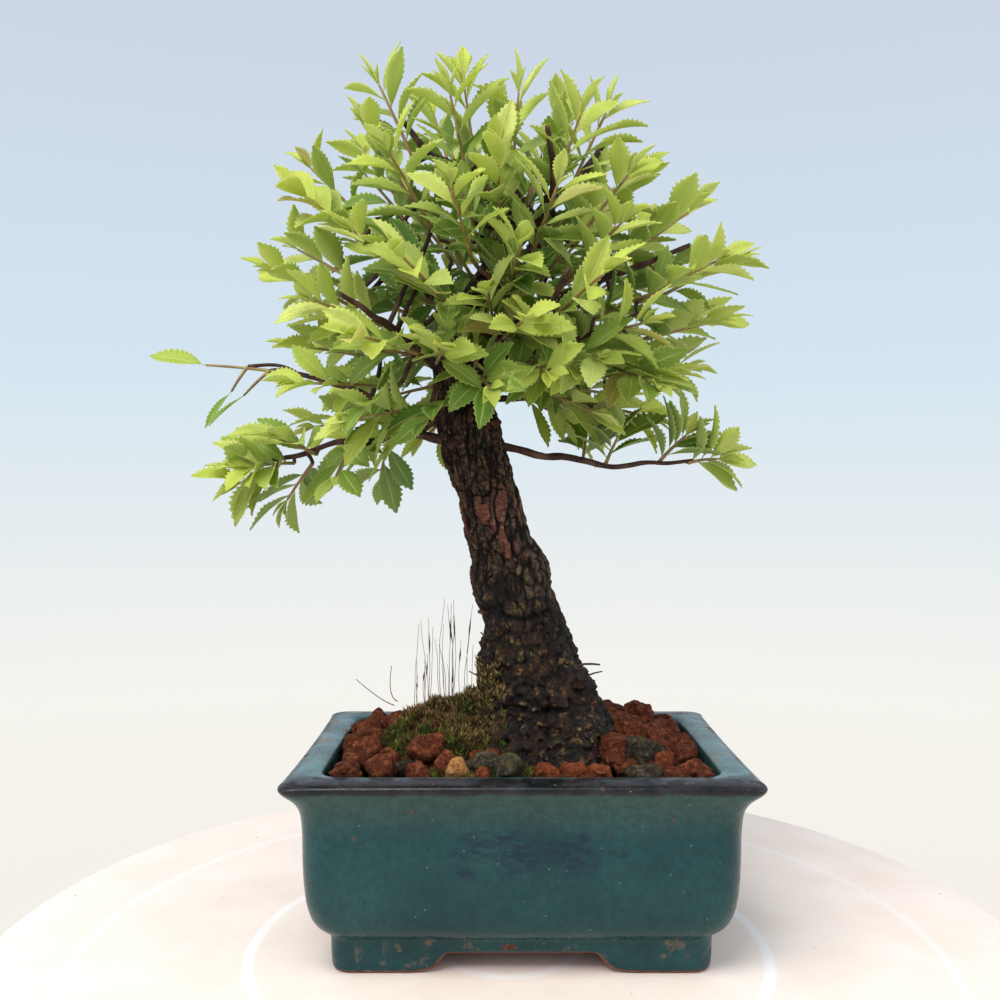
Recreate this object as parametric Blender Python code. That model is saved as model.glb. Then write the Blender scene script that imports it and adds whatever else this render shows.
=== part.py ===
"""Elm bonsai in a glazed rectangular pot: pot, soil, gravel, moss, trunk and leafy shoots.

Metres, +Z up.  Work starts with the pot centred on X = Y = 0 and its feet on Z = 0; at the end
everything is carried sideways together so that the origin lies below the middle of the object.
"""
import math

import bmesh
import bpy
from mathutils import Matrix, Vector
from mathutils.bvhtree import BVHTree

for old in list(bpy.data.objects):
    bpy.data.objects.remove(old, do_unlink=True)

# ---------------------------------------------------------------- driving dimensions
POT_LENGTH = 0.150
POT_DEPTH = 0.110
POT_HEIGHT = 0.064
LIP_WIDTH = 0.0115
LIP_THICKNESS = 0.0060
WALL = 0.0060
FLOOR = 0.0060
FOOT_HEIGHT = 0.0110
FOOT_INSET = 0.0155
FOOT_WALL = 0.0090
APRON_GAP = 0.0062
DRAIN_RADIUS = 0.0055
DRAIN_SPREAD = 0.0300
PAD_SIDE = 0.0200
PAD_THICKNESS = 0.0010
WIRE_RADIUS = 0.0005

SOIL_DROP = 0.0100
SOIL_RISE = 0.0080
GRAVEL_THICKNESS = 0.0050
LUMP_RADIUS = 0.0056
LUMP_COUNT = 12
STALK_COUNT = 10

TREE_HEIGHT = 0.318
TRUNK_RADIUS = 0.0260
TRUNK_LEAN = 0.0260
CROWN_HALF_WIDTH = 0.100
CROWN_HALF_DEPTH = 0.080
CROWN_HALF_HEIGHT = 0.078
SHOOT_LENGTH = 0.036
SHOOT_RADIUS = 0.0008
LEAF_LENGTH = 0.0195
LEAF_WIDTH = 0.0092
LEAF_THICKNESS = 0.0005
LEAVES_PER_SHOOT = 6
SHELL_SHOOTS = 23

GAP = 0.0003
ROOT_GAP = 0.0010

# ---------------------------------------------------------------- sizes that follow from them
BODY_TOP = POT_HEIGHT - LIP_THICKNESS - 0.0020
FLOOR_TOP = FOOT_HEIGHT - 0.0010 + FLOOR
CAVITY_X = POT_LENGTH / 2 - LIP_WIDTH
CAVITY_Y = POT_DEPTH / 2 - LIP_WIDTH
SOIL_EDGE = POT_HEIGHT - SOIL_DROP
FOOT_SPREAD = 1.35 * TRUNK_RADIUS
TRUNK_FOOT = Vector((0.0094, -min(0.0060, CAVITY_Y - FOOT_SPREAD - 0.0020),
                     SOIL_EDGE + SOIL_RISE))
TRUNK_TOP = TREE_HEIGHT - 0.046
CROWN_CENTRE = Vector((TRUNK_FOOT.x - 0.0150, 0.0, TREE_HEIGHT - CROWN_HALF_HEIGHT))
SPRAY_REACH = SHOOT_LENGTH + 0.55 * LEAF_LENGTH

parts = bpy.data.collections.new("bonsai_tree_in_pot")
workshop = bpy.data.collections.new("cutters")
bpy.context.scene.collection.children.link(parts)
bpy.context.scene.collection.children.link(workshop)


# ---------------------------------------------------------------- materials
def material(name, colour, roughness, metallic=0.0):
    """One named surface: base colour, roughness and metallic on a Principled shader."""
    made = bpy.data.materials.new(name)
    made.use_nodes = True
    shader = made.node_tree.nodes["Principled BSDF"]
    shader.inputs["Base Color"].default_value = (*colour, 1.0)
    shader.inputs["Roughness"].default_value = roughness
    shader.inputs["Metallic"].default_value = metallic
    made.diffuse_color = (*colour, 1.0)
    return made


GLAZE = material("teal_glaze", (0.012, 0.100, 0.112), 0.22)
NET = material("net_plastic", (0.02, 0.02, 0.02), 0.55)
WIRE = material("wire_metal", (0.55, 0.42, 0.30), 0.35, 1.0)
EARTH = material("potting_soil", (0.045, 0.027, 0.016), 0.95)
LAVA = material("lava_gravel", (0.210, 0.065, 0.038), 0.92)
TAN = material("tan_stone", (0.52, 0.30, 0.14), 0.85)
GREY = material("mossy_stone", (0.085, 0.090, 0.062), 0.90)
MOSS = material("moss_green", (0.070, 0.095, 0.018), 0.95)
STALK = material("dry_stalk", (0.055, 0.022, 0.014), 0.75)
BARK = material("elm_bark", (0.060, 0.038, 0.028), 0.90)
LEAF = material("elm_leaf", (0.190, 0.330, 0.045), 0.50)


# ---------------------------------------------------------------- shape helpers
def wave(seed, x, y=0.0):
    """A smooth, repeatable unevenness between about -1 and 1."""
    first = math.sin(2.3 * x + 1.7 * seed) * math.cos(1.9 * y - 0.8 * seed)
    second = math.sin(4.1 * x - 2.6 * y + 2.9 * seed)
    return 0.6 * first + 0.4 * second


def put(name, mesh, surface, where=None):
    """Place a mesh in the scene as one named object with one material."""
    mesh.materials.clear()
    if surface is not None:
        mesh.materials.append(surface)
    made = bpy.data.objects.new(name, mesh)
    (where or parts).objects.link(made)
    return made


def mesh_of(bm, name):
    """Turn a finished bmesh into a mesh with its faces outward."""
    bmesh.ops.recalc_face_normals(bm, faces=bm.faces[:])
    mesh = bpy.data.meshes.new(name)
    bm.to_mesh(mesh)
    bm.free()
    return mesh


def loft(name, rings):
    """Skin a stack of rings of equal count; the first and the last ring are filled."""
    bm = bmesh.new()
    rows = [[bm.verts.new(point) for point in ring] for ring in rings]
    count = len(rings[0])
    for low, high in zip(rows, rows[1:]):
        for i in range(count):
            j = (i + 1) % count
            bm.faces.new((low[i], low[j], high[j], high[i]))
    bm.faces.new(rows[0][::-1])
    bm.faces.new(rows[-1])
    return mesh_of(bm, name)


def tube(name, points, radii, sides_step=1):
    """A round, capped tube through the points, as thick as the radii say."""
    curve = bpy.data.curves.new(name, "CURVE")
    curve.dimensions = "3D"
    curve.bevel_depth = 1.0
    curve.bevel_resolution = sides_step
    curve.use_fill_caps = True
    spline = curve.splines.new("POLY")
    spline.points.add(len(points) - 1)
    for knot, point, radius in zip(spline.points, points, radii):
        knot.co = (*point, 1.0)
        knot.radius = radius
    guide = bpy.data.objects.new(name, curve)
    workshop.objects.link(guide)
    bpy.context.view_layer.update()
    graph = bpy.context.evaluated_depsgraph_get()
    mesh = bpy.data.meshes.new_from_object(guide.evaluated_get(graph))
    bpy.data.objects.remove(guide, do_unlink=True)
    bm = bmesh.new()
    bm.from_mesh(mesh)
    bmesh.ops.remove_doubles(bm, verts=bm.verts[:], dist=0.00001)
    return mesh_of(bm, name)


def prism(name, outline, low, high, along="Y"):
    """A flat outline in X-Z (or Y-Z) pushed from low to high along the other axis."""
    bm = bmesh.new()
    place = (lambda a, b, t: (a, t, b)) if along == "Y" else (lambda a, b, t: (t, a, b))
    near = [bm.verts.new(place(a, b, low)) for a, b in outline]
    face = bm.faces.new(near)
    pushed = bmesh.ops.extrude_face_region(bm, geom=[face])
    moved = [v for v in pushed["geom"] if isinstance(v, bmesh.types.BMVert)]
    step = Vector(place(0, 0, high - low))
    bmesh.ops.translate(bm, vec=step, verts=moved)
    return mesh_of(bm, name)


def block(name, centre, size):
    """A plain box."""
    bm = bmesh.new()
    bmesh.ops.create_cube(bm, size=1.0)
    bmesh.ops.scale(bm, vec=size, verts=bm.verts[:])
    bmesh.ops.translate(bm, vec=centre, verts=bm.verts[:])
    return mesh_of(bm, name)


def combine(target, meshes, operation):
    """Join or cut the target with several meshes at once and keep the plain result."""
    store = bpy.data.collections.new("operands")
    workshop.children.link(store)
    operands = [put("operand", mesh, None, store) for mesh in meshes]
    change = target.modifiers.new(operation.lower(), "BOOLEAN")
    change.operation = operation
    change.solver = "EXACT"
    change.operand_type = "COLLECTION"
    change.collection = store
    bpy.context.view_layer.update()
    graph = bpy.context.evaluated_depsgraph_get()
    mesh = bpy.data.meshes.new_from_object(target.evaluated_get(graph))
    target.modifiers.clear()
    surface = target.data.materials[0]
    target.data = mesh
    mesh.materials.clear()
    mesh.materials.append(surface)
    for face in mesh.polygons:
        face.material_index = 0
    for operand in operands:
        bpy.data.objects.remove(operand, do_unlink=True)
    bpy.data.collections.remove(store)
    return target


def is_closed(mesh):
    """Whether every edge of the mesh is shared by exactly two faces."""
    shared = {}
    for face in mesh.polygons:
        for key in face.edge_keys:
            shared[key] = shared.get(key, 0) + 1
    return all(count == 2 for count in shared.values())


def main_body(mesh, weld):
    """The largest body of a mesh, in triangles, with vertices nearer than the weld joined."""
    bm = bmesh.new()
    bm.from_mesh(mesh)
    bmesh.ops.remove_doubles(bm, verts=bm.verts[:], dist=weld)
    bmesh.ops.triangulate(bm, faces=bm.faces[:])
    left = set(bm.faces)
    bodies = []
    while left:
        body = {left.pop()}
        front = list(body)
        while front:
            for edge in front.pop().edges:
                fresh = [face for face in edge.link_faces if face in left]
                left.difference_update(fresh)
                body.update(fresh)
                front.extend(fresh)
        bodies.append(body)
    main = max(bodies, key=len)
    crumbs = [face for face in bm.faces if face not in main]
    bmesh.ops.delete(bm, geom=crumbs, context="FACES")
    made = bpy.data.meshes.new("body")
    bm.to_mesh(made)
    bm.free()
    made.materials.append(mesh.materials[0])
    return made


def keep_main_body(target):
    """Drop the crumbs a cut has left; says whether what remains is one closed body."""
    for weld in (0.00001, 0.000001):
        body = main_body(target.data, weld)
        if is_closed(body):
            target.data = body
            return True
    return False


def rounded_ring(half_x, half_y, radius, z, pull=0.0, steps=4):
    """Rounded rectangle at one height; pull draws each corner outward to a soft point."""
    ring = []
    for quarter in range(4):
        side_x = 1 if quarter in (0, 3) else -1
        side_y = 1 if quarter in (0, 1) else -1
        for step in range(steps + 1):
            angle = math.radians(90 * quarter + 90 * step / steps)
            reach = radius + pull * math.sin(math.pi * step / steps) ** 2
            x = side_x * (half_x - radius) + reach * math.cos(angle)
            y = side_y * (half_y - radius) + reach * math.sin(angle)
            ring.append(Vector((x, y, z)))
    return ring


# ---------------------------------------------------------------- pot
HALF_X = POT_LENGTH / 2
HALF_Y = POT_DEPTH / 2


def outer_ring(inset, z, radius, pull=0.0):
    """Outside outline of the pot, drawn in from the lip by the inset."""
    return rounded_ring(HALF_X - inset, HALF_Y - inset, radius, z, pull)


def cavity_ring(inset, z, spare=0.0):
    """Inside outline of the pot, drawn in further by the inset and any spare room."""
    offset = inset + spare
    return rounded_ring(CAVITY_X - offset, CAVITY_Y - offset, 0.0085, z)


BODY_INSET = 0.0056
body_height = BODY_TOP - FOOT_HEIGHT
pot_rings = [
    outer_ring(FOOT_INSET + 0.0006, 0.0, 0.0070),
    outer_ring(FOOT_INSET, 0.0012, 0.0070),
    outer_ring(FOOT_INSET - 0.0002, FOOT_HEIGHT, 0.0070),
]
for share, inset in ((0.03, 0.0143), (0.10, 0.0122), (0.18, 0.0102), (0.28, 0.0084),
                     (0.42, 0.0070), (0.65, 0.0061), (0.95, BODY_INSET)):
    pot_rings.append(outer_ring(inset, FOOT_HEIGHT + share * body_height, 0.0090))
for drop, inset, pull in ((1.25, 0.0050, 0.0), (1.02, 0.0030, 0.0006), (0.80, 0.0010, 0.0012),
                          (0.55, 0.0001, 0.0016), (0.28, 0.0, 0.0018), (0.08, 0.0008, 0.0016),
                          (0.0, 0.0024, 0.0010)):
    pot_rings.append(outer_ring(inset, POT_HEIGHT - drop * LIP_THICKNESS, 0.0080, pull))
for inset, z in ((-0.0010, POT_HEIGHT), (0.0, POT_HEIGHT - 0.0010),
                 (0.0003, SOIL_EDGE), (0.0012, FLOOR_TOP + 0.018),
                 (0.0030, FLOOR_TOP + 0.006), (0.0052, FLOOR_TOP + 0.0015),
                 (0.0080, FLOOR_TOP)):
    pot_rings.append(cavity_ring(inset, z))
pot = put("pot", loft("pot", pot_rings), GLAZE)

foot_x = HALF_X - FOOT_INSET
foot_y = HALF_Y - FOOT_INSET


def arch(flat, span):
    """Half-and-half outline of the gap between two feet, with a scroll at each end."""
    side = [(span, -0.004), (span, 0.0)]
    for step in range(1, 7):
        t = step / 6
        x = span + (flat - span) * t
        bow = 0.5 - 0.5 * math.cos(math.pi * t)
        side.append((x, APRON_GAP * (0.35 * t + 0.65 * bow)))
    return side + [(-x, z) for x, z in reversed(side)]


front_gap = prism("front_gap", arch(0.0240, 0.0360), -HALF_Y, HALF_Y, "Y")
side_gap = prism("side_gap", arch(0.0130, 0.0225), -HALF_X, HALF_X, "X")
pocket_rings = [rounded_ring(foot_x - FOOT_WALL, foot_y - FOOT_WALL, 0.004, z, steps=3)
                for z in (-0.002, FOOT_HEIGHT - 0.0010)]
pocket = loft("pocket", pocket_rings)
drains = []
for side in (-1, 1):
    bm = bmesh.new()
    bmesh.ops.create_cone(bm, cap_ends=True, segments=20, radius1=DRAIN_RADIUS,
                          radius2=DRAIN_RADIUS, depth=0.03)
    bmesh.ops.translate(bm, vec=(side * DRAIN_SPREAD, 0, FLOOR_TOP - 0.004), verts=bm.verts[:])
    drains.append(mesh_of(bm, "drain"))
combine(pot, [front_gap, side_gap, pocket] + drains, "DIFFERENCE")

# ---------------------------------------------------------------- net pads and wire staples
PAD_TOP = FLOOR_TOP + GAP + PAD_THICKNESS
STAPLE_TOP = PAD_TOP + GAP + 2 * WIRE_RADIUS
CELL = 0.0040
for side, label in ((-1, "left"), (1, "right")):
    centre = side * DRAIN_SPREAD
    pad = put(f"drain_mesh_{label}",
              block("pad", (centre, 0, PAD_TOP - PAD_THICKNESS / 2),
                    (PAD_SIDE, PAD_SIDE, PAD_THICKNESS)), NET)
    cells = [block("cell", (centre + i * CELL, j * CELL, PAD_TOP), (0.0028, 0.0028, 0.01))
             for i in (-1, 0, 1) for j in (-1, 0, 1)]
    combine(pad, cells, "DIFFERENCE")
    level = STAPLE_TOP - WIRE_RADIUS
    hook = FOOT_HEIGHT - 0.0010 - GAP - WIRE_RADIUS - 0.0006
    bend = 0.0008
    path = [(-CELL - 0.005, hook), (-CELL - bend, hook), (-CELL, hook + bend),
            (-CELL, level - bend), (-CELL + bend, level), (CELL - bend, level),
            (CELL, level - bend), (CELL, hook + bend), (CELL + bend, hook),
            (CELL + 0.005, hook)]
    points = [Vector((centre + x, 0, z)) for x, z in path]
    put(f"mesh_staple_{label}", tube("staple", points, [WIRE_RADIUS] * len(points)), WIRE)


# ---------------------------------------------------------------- soil
def soil_height(x, y):
    """Height of the soil: lowest along the wall, a low dome below the trunk."""
    across = max(0.0, 1 - (x / CAVITY_X) ** 2)
    along = max(0.0, 1 - (y / CAVITY_Y) ** 2)
    return SOIL_EDGE + SOIL_RISE * across * along


def draped_ring(scale, lift, spare=0.0, rough=0.0, seed=0):
    """A cavity-shaped ring, shrunk by the scale and laid on the soil with some lift."""
    ring = []
    for number, point in enumerate(rounded_ring(CAVITY_X - spare, CAVITY_Y - spare, 0.0085, 0)):
        x = point.x * scale
        y = point.y * scale
        bump = rough * wave(seed + 3.1 * scale, number * 1.7, scale * 21)
        ring.append(Vector((x, y, soil_height(x, y) + lift + bump)))
    return ring


SCALES = (0.82, 0.62, 0.42, 0.20)
soil_rings = []
for inset, z in ((0.0086, FLOOR_TOP + GAP), (0.0052, FLOOR_TOP + 0.0018),
                 (0.0030, FLOOR_TOP + 0.006), (0.0012, FLOOR_TOP + 0.018),
                 (0.0003, SOIL_EDGE)):
    soil_rings.append(cavity_ring(inset, z, GAP + 0.0002))
soil_rings += [draped_ring(scale, 0.0) for scale in SCALES]
soil = put("soil", loft("soil", soil_rings), EARTH)
pad_rooms = []
for side in (-1, 1):
    top = STAPLE_TOP + GAP
    pad_rooms.append(block("pad_room", (side * DRAIN_SPREAD, 0, (top + FLOOR_TOP - 0.004) / 2),
                           (PAD_SIDE + 2 * GAP, PAD_SIDE + 2 * GAP, top - FLOOR_TOP + 0.004)))
combine(soil, pad_rooms, "DIFFERENCE")

# ---------------------------------------------------------------- trunk, roots and branches
# Rows of the trunk: share of the height above the soil, sideways share of the lean, thickness.
TRUNK_ROWS = ((-0.072, 0.00, 0.62), (-0.03, 0.00, 0.90), (0.0, 0.00, 1.0), (0.028, 0.00, 0.95),
              (0.068, -0.06, 0.85), (0.12, 0.18, 0.755), (0.165, 0.36, 0.685), (0.21, 0.49, 0.60),
              (0.255, 0.55, 0.555), (0.30, 0.65, 0.535), (0.345, 0.74, 0.515),
              (0.39, 0.84, 0.46), (0.43, 0.93, 0.445), (0.47, 1.00, 0.47), (0.505, 1.06, 0.50),
              (0.54, 1.08, 0.45), (0.575, 1.12, 0.39), (0.64, 1.08, 0.30), (0.72, 0.92, 0.24),
              (0.80, 0.66, 0.20), (0.88, 0.42, 0.16), (0.96, 0.36, 0.115))
TRUNK_SPAN = TRUNK_TOP - TRUNK_FOOT.z


def trunk_row(share, shift, thickness, grow=0.0):
    """Centre and the two half-thicknesses of the trunk at one row."""
    centre = Vector((TRUNK_FOOT.x - TRUNK_LEAN * shift,
                     TRUNK_FOOT.y * (1 - min(1.0, max(0.0, share) * 1.6)),
                     TRUNK_FOOT.z + share * TRUNK_SPAN))
    flare = 1 + 0.18 * math.exp(-(share / 0.05) ** 2)
    return centre, TRUNK_RADIUS * thickness + grow, TRUNK_RADIUS * thickness * flare + grow


def trunk_rings(grow=0.0, rows=TRUNK_ROWS):
    """Uneven rings up the trunk: deep lobes at the foot, slight ones higher up."""
    rings = []
    sides = 15
    for number, row in enumerate(rows):
        centre, rx, ry = trunk_row(*row, grow)
        lobes = 0.11 * math.exp(-max(0.0, row[0]) / 0.06) + 0.035
        ring = []
        for i in range(sides):
            angle = 2 * math.pi * i / sides
            swell = 1 + lobes * math.sin(5 * angle + 0.7) + 0.03 * wave(number, 3 * angle)
            ring.append(centre + Vector((rx * swell * math.cos(angle),
                                         ry * swell * math.sin(angle), 0)))
        rings.append(ring)
    return rings


def on_trunk(share):
    """Point on the middle line of the trunk at a share of its height."""
    rows = [trunk_row(*row) for row in TRUNK_ROWS]
    for (low, _, _), (high, _, _), a, b in zip(rows, rows[1:], TRUNK_ROWS, TRUNK_ROWS[1:]):
        if share <= b[0]:
            return low.lerp(high, (share - a[0]) / (b[0] - a[0]))
    return rows[-1][0]


def bend_path(start, end, leave, knots):
    """A bent line from start to end that first heads the way it leaves its parent."""
    middle = start + leave * (end - start).length * 0.5
    path = []
    for k in range(knots):
        t = k / (knots - 1)
        path.append(start * (1 - t) ** 2 + middle * 2 * t * (1 - t) + end * t ** 2)
    return path


ROOTS = ((200, 0.034, 0.0075), (262, 0.033, 0.0080), (318, 0.036, 0.0080), (20, 0.034, 0.0070),
         (120, 0.033, 0.0070))


def root_tubes(grow=0.0):
    """Surface roots that run out of the trunk foot and dive into the soil."""
    made = []
    for degrees, reach, thick in ROOTS:
        way = Vector((math.cos(math.radians(degrees)), math.sin(math.radians(degrees)), 0))
        start = TRUNK_FOOT + way * 0.008 + Vector((0, 0, 0.011))
        end = TRUNK_FOOT + way * (reach + 2 * grow) + Vector((0, 0, -0.012 - 4 * grow))
        points = bend_path(start, end, (way * 0.8 + Vector((0, 0, 0.12))), 5)
        radii = [thick * (1 - 0.13 * k) + grow for k in range(5)]
        made.append(tube("root", points, radii))
    return made


def beside_trunk(x, y, share):
    """A point at some share of the trunk's height, sideways of the pot's middle."""
    return Vector((x, y, TRUNK_FOOT.z + share * TRUNK_SPAN))


# Main branches: share of the trunk height where they leave, where they end, thickness there.
BRANCHES = (
    ("low_left", 0.508, beside_trunk(-0.057, -0.012, 0.4952), 0.0034),
    ("low_right", 0.522, beside_trunk(0.038, -0.008, 0.4833), 0.0030),
    ("second_right", 0.560, beside_trunk(0.046, 0.010, 0.6095), 0.0028),
    ("upper_left", 0.530, beside_trunk(-0.066, 0.004, 0.6286), 0.0036),
    ("front_left", 0.590, beside_trunk(-0.040, -0.036, 0.6857), 0.0030),
    ("front_right", 0.640, beside_trunk(0.016, -0.040, 0.7238), 0.0030),
    ("back_left", 0.620, beside_trunk(-0.040, 0.036, 0.7143), 0.0030),
    ("back_right", 0.670, beside_trunk(0.020, 0.040, 0.7524), 0.0030),
    ("mid_right", 0.700, beside_trunk(0.048, -0.004, 0.7810), 0.0032),
    ("mid_left", 0.730, beside_trunk(-0.054, 0.000, 0.8286), 0.0030),
    ("top_right", 0.800, beside_trunk(0.024, 0.004, 0.9619), 0.0034),
    ("top_left", 0.840, beside_trunk(-0.034, -0.006, 0.9524), 0.0030),
)
TIP_RADIUS = 0.0010
branch_meshes = []
skeleton = []
for _, share, end, thick in BRANCHES:
    start = on_trunk(share)
    outward = Vector((end.x - start.x, end.y - start.y, 0)).normalized()
    rise = 0.62 if end.z > start.z + 0.010 else 0.28
    path = bend_path(start, end, (outward + Vector((0, 0, rise))).normalized(), 5)
    path = [p + Vector((0, 0, 0.0012 * wave(k + share * 40, k * 1.3))) if 0 < k < 4 else p
            for k, p in enumerate(path)]
    radii = [thick + (TIP_RADIUS * 1.3 - thick) * (k / 4) ** 0.8 for k in range(5)]
    branch_meshes.append(tube("branch", path, radii))
    skeleton += [(p, r) for p, r in zip(path[2:], radii[2:])]
for k in range(4):
    share = 0.80 + 0.04 * k
    skeleton.append((on_trunk(share), 0.003))


def crown_tips():
    """Twig ends spread evenly over a shell inside the crown, and the way each one points."""
    golden = math.pi * (3 - math.sqrt(5))
    tips = []
    for i in range(SHELL_SHOOTS):
        height = 1 - (i + 0.5) / SHELL_SHOOTS * 1.50
        ring = math.sqrt(max(0.0, 1 - height ** 2))
        way = Vector((ring * math.cos(i * golden + 0.4), ring * math.sin(i * golden + 0.4),
                      height))
        reach = Vector((way.x * (CROWN_HALF_WIDTH - SPRAY_REACH),
                        way.y * (CROWN_HALF_DEPTH - SPRAY_REACH),
                        way.z * (CROWN_HALF_HEIGHT - SPRAY_REACH)))
        heading = Vector((way.x, way.y, way.z * 0.8 + 0.22)).normalized()
        tips.append((CROWN_CENTRE + reach, heading))
    return tips


def side_tips():
    """Twig ends of the long low branches, which leave the round of the crown."""
    return [
        (beside_trunk(-0.068, -0.016, 0.4810), Vector((-1.0, -0.35, -0.12)).normalized()),
        (beside_trunk(-0.052, 0.004, 0.4571), Vector((-0.7, 0.45, -0.25)).normalized()),
        (beside_trunk(0.048, -0.012, 0.4810), Vector((1.0, -0.25, 0.02)).normalized()),
        (beside_trunk(0.038, 0.006, 0.5048), Vector((0.8, 0.50, 0.15)).normalized()),
        (beside_trunk(-0.084, 0.006, 0.6381), Vector((-1.0, 0.05, 0.02)).normalized()),
    ]


tips = crown_tips() + side_tips()
for tip, heading in tips:
    near, radius = min(skeleton, key=lambda item: (item[0] - tip).length
                       + 0.35 * abs((tip - item[0]).normalized().angle(heading)) * 0.03)
    leave = ((tip - near).normalized() + Vector((0, 0, 0.10)) - heading * 0.15).normalized()
    path = bend_path(near, tip, leave, 3)
    path[1] = path[1].lerp(tip - heading * 0.012, 0.5)
    path.insert(2, tip - heading * 0.003)
    start_radius = min(radius * 0.85, 0.0017)
    radii = [start_radius + (TIP_RADIUS - start_radius) * t for t in (0.0, 0.5, 1.0, 1.0)]
    branch_meshes.append(tube("twig", path, radii))

stubs = []
for share, degrees, length, rise in ((0.165, 12, 0.028, 0.3), (0.175, 200, 0.0205, 0.5),
                                     (0.465, 196, 0.018, 0.6), (0.40, 255, 0.017, 0.2)):
    way = Vector((math.cos(math.radians(degrees)), math.sin(math.radians(degrees)), rise))
    start = on_trunk(share)
    path = [start + way.normalized() * length * k / 2 for k in range(3)]
    stubs.append(tube("stub", path, [0.0020, 0.0017, 0.0011]))

trunk = put("trunk", loft("trunk", trunk_rings()), BARK)
combine(trunk, root_tubes() + branch_meshes + stubs, "UNION")
keep_main_body(trunk)
bm = bmesh.new()
bm.from_mesh(trunk.data)
bmesh.ops.triangulate(bm, faces=bm.faces[:])
bm.to_mesh(trunk.data)
bm.free()
foot_rows = [row for row in TRUNK_ROWS if row[0] < 0.2]
trunk_room = [loft("trunk_room", trunk_rings(ROOT_GAP, foot_rows))] + root_tubes(ROOT_GAP)
deeper = trunk_rings(ROOT_GAP, ((-0.080, 0.0, 0.62), (-0.066, 0.0, 0.64)))
trunk_room.append(loft("trunk_room", deeper))
combine(soil, [mesh.copy() for mesh in trunk_room], "DIFFERENCE")
keep_main_body(soil)

# ---------------------------------------------------------------- moss
# Each cushion: centre, half-length, half-depth, height above the soil.
MOSS_PADS = {
    "moss_mound": (Vector((-0.0290, -0.0010, 0)), 0.0250, 0.0235, 0.0200),
    "moss_front": (Vector((-0.0110, -0.0365, 0)), 0.0150, 0.0052, 0.0085),
}


def moss_cushion(centre, half_x, half_y, height, seed):
    """A domed, uneven cushion whose underside follows the soil."""
    sides = 16
    rings = []
    for rho, level in ((0.40, 0.0), (1.0, 0.0), (1.0, 0.14), (0.90, 0.50),
                       (0.68, 0.82), (0.34, 1.0)):
        ring = []
        for i in range(sides):
            angle = 2 * math.pi * i / sides
            edge = 1 + 0.06 * math.sin(3 * angle + seed) + 0.05 * math.sin(7 * angle)
            x = centre.x + half_x * rho * edge * math.cos(angle)
            y = centre.y + half_y * rho * edge * math.sin(angle)
            swell = level * height * (1 + 0.09 * wave(seed, 4 * angle, 9 * rho))
            ring.append(Vector((x, y, soil_height(x, y) + GAP * 1.5 + swell)))
        rings.append(ring)
    return loft("moss", rings)


def moss_room(centre, half_x, half_y, seed):
    """Upright room kept free for a cushion: its outline with the gap added."""
    rings = []
    for z in (SOIL_EDGE - 0.004, POT_HEIGHT + 0.030):
        ring = []
        for i in range(16):
            angle = 2 * math.pi * i / 16
            edge = 1 + 0.06 * math.sin(3 * angle + seed) + 0.05 * math.sin(7 * angle)
            ring.append(Vector((centre.x + (half_x + 1.5 * GAP) * edge * math.cos(angle),
                                centre.y + (half_y + 1.5 * GAP) * edge * math.sin(angle), z)))
        rings.append(ring)
    return loft("moss_room", rings)


moss_rooms = []
moss = {}
for seed, (name, (centre, half_x, half_y, height)) in enumerate(MOSS_PADS.items()):
    cushion = put(name, moss_cushion(centre, half_x, half_y, height, seed), MOSS)
    combine(cushion, [mesh.copy() for mesh in trunk_room] + [trunk.data.copy()], "DIFFERENCE")
    keep_main_body(cushion)
    moss_rooms.append(moss_room(centre, half_x, half_y, seed))
    moss[name] = cushion

# ---------------------------------------------------------------- dry stalks on the moss
mound_centre, _, _, mound_height = MOSS_PADS["moss_mound"]
tuft = mound_centre + Vector((-0.004, 0, soil_height(mound_centre.x, 0) + mound_height))


def tuft_cushion(grow):
    """The flat clump from which all the stalks rise."""
    bm = bmesh.new()
    bmesh.ops.create_uvsphere(bm, u_segments=12, v_segments=6, radius=1.0)
    size = (0.0105 + grow, 0.0060 + grow, 0.0028 + grow)
    bmesh.ops.scale(bm, vec=size, verts=bm.verts[:])
    bmesh.ops.translate(bm, vec=tuft, verts=bm.verts[:])
    return mesh_of(bm, "tuft")


stalks = []
for i in range(STALK_COUNT):
    share = (i + 0.5) / STALK_COUNT
    foot = tuft + Vector((-0.0085 + 0.017 * share, 0.0025 * wave(i, 2.0), 0.0))
    tall = 0.020 + 0.012 * (0.5 + 0.5 * math.sin(3.9 * i))
    lean = 0.0040 * wave(i + 5, 1.0)
    path = [foot, foot + Vector((lean * 0.3, lean * 0.2, tall * 0.5)),
            foot + Vector((lean, lean * 0.5, tall))]
    stalks.append(tube("stalk", path, [0.00042, 0.00036, 0.00032], 0))
dry = put("dry_stalks", tuft_cushion(0.0), STALK)
combine(dry, stalks, "UNION")
keep_main_body(dry)
combine(moss["moss_mound"], [tuft_cushion(GAP)], "DIFFERENCE")
keep_main_body(moss["moss_mound"])

# ---------------------------------------------------------------- gravel and loose stones
lift_top = GAP + GRAVEL_THICKNESS
gravel_rings = [draped_ring(SCALES[-1], GAP)]
gravel_rings += [draped_ring(scale, GAP) for scale in reversed(SCALES[:-1])]
gravel_rings += [draped_ring(0.985, GAP), draped_ring(0.985, GAP + 0.6 * GRAVEL_THICKNESS)]
gravel_rings += [draped_ring(scale, lift_top, 0.0, 0.0014, 4)
                 for scale in (0.92, 0.80, 0.66, 0.50, 0.20)]
gravel = put("gravel_layer", loft("gravel_layer", gravel_rings), LAVA)
combine(gravel, [mesh.copy() for mesh in trunk_room] + moss_rooms, "DIFFERENCE")
keep_main_body(gravel)


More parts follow.
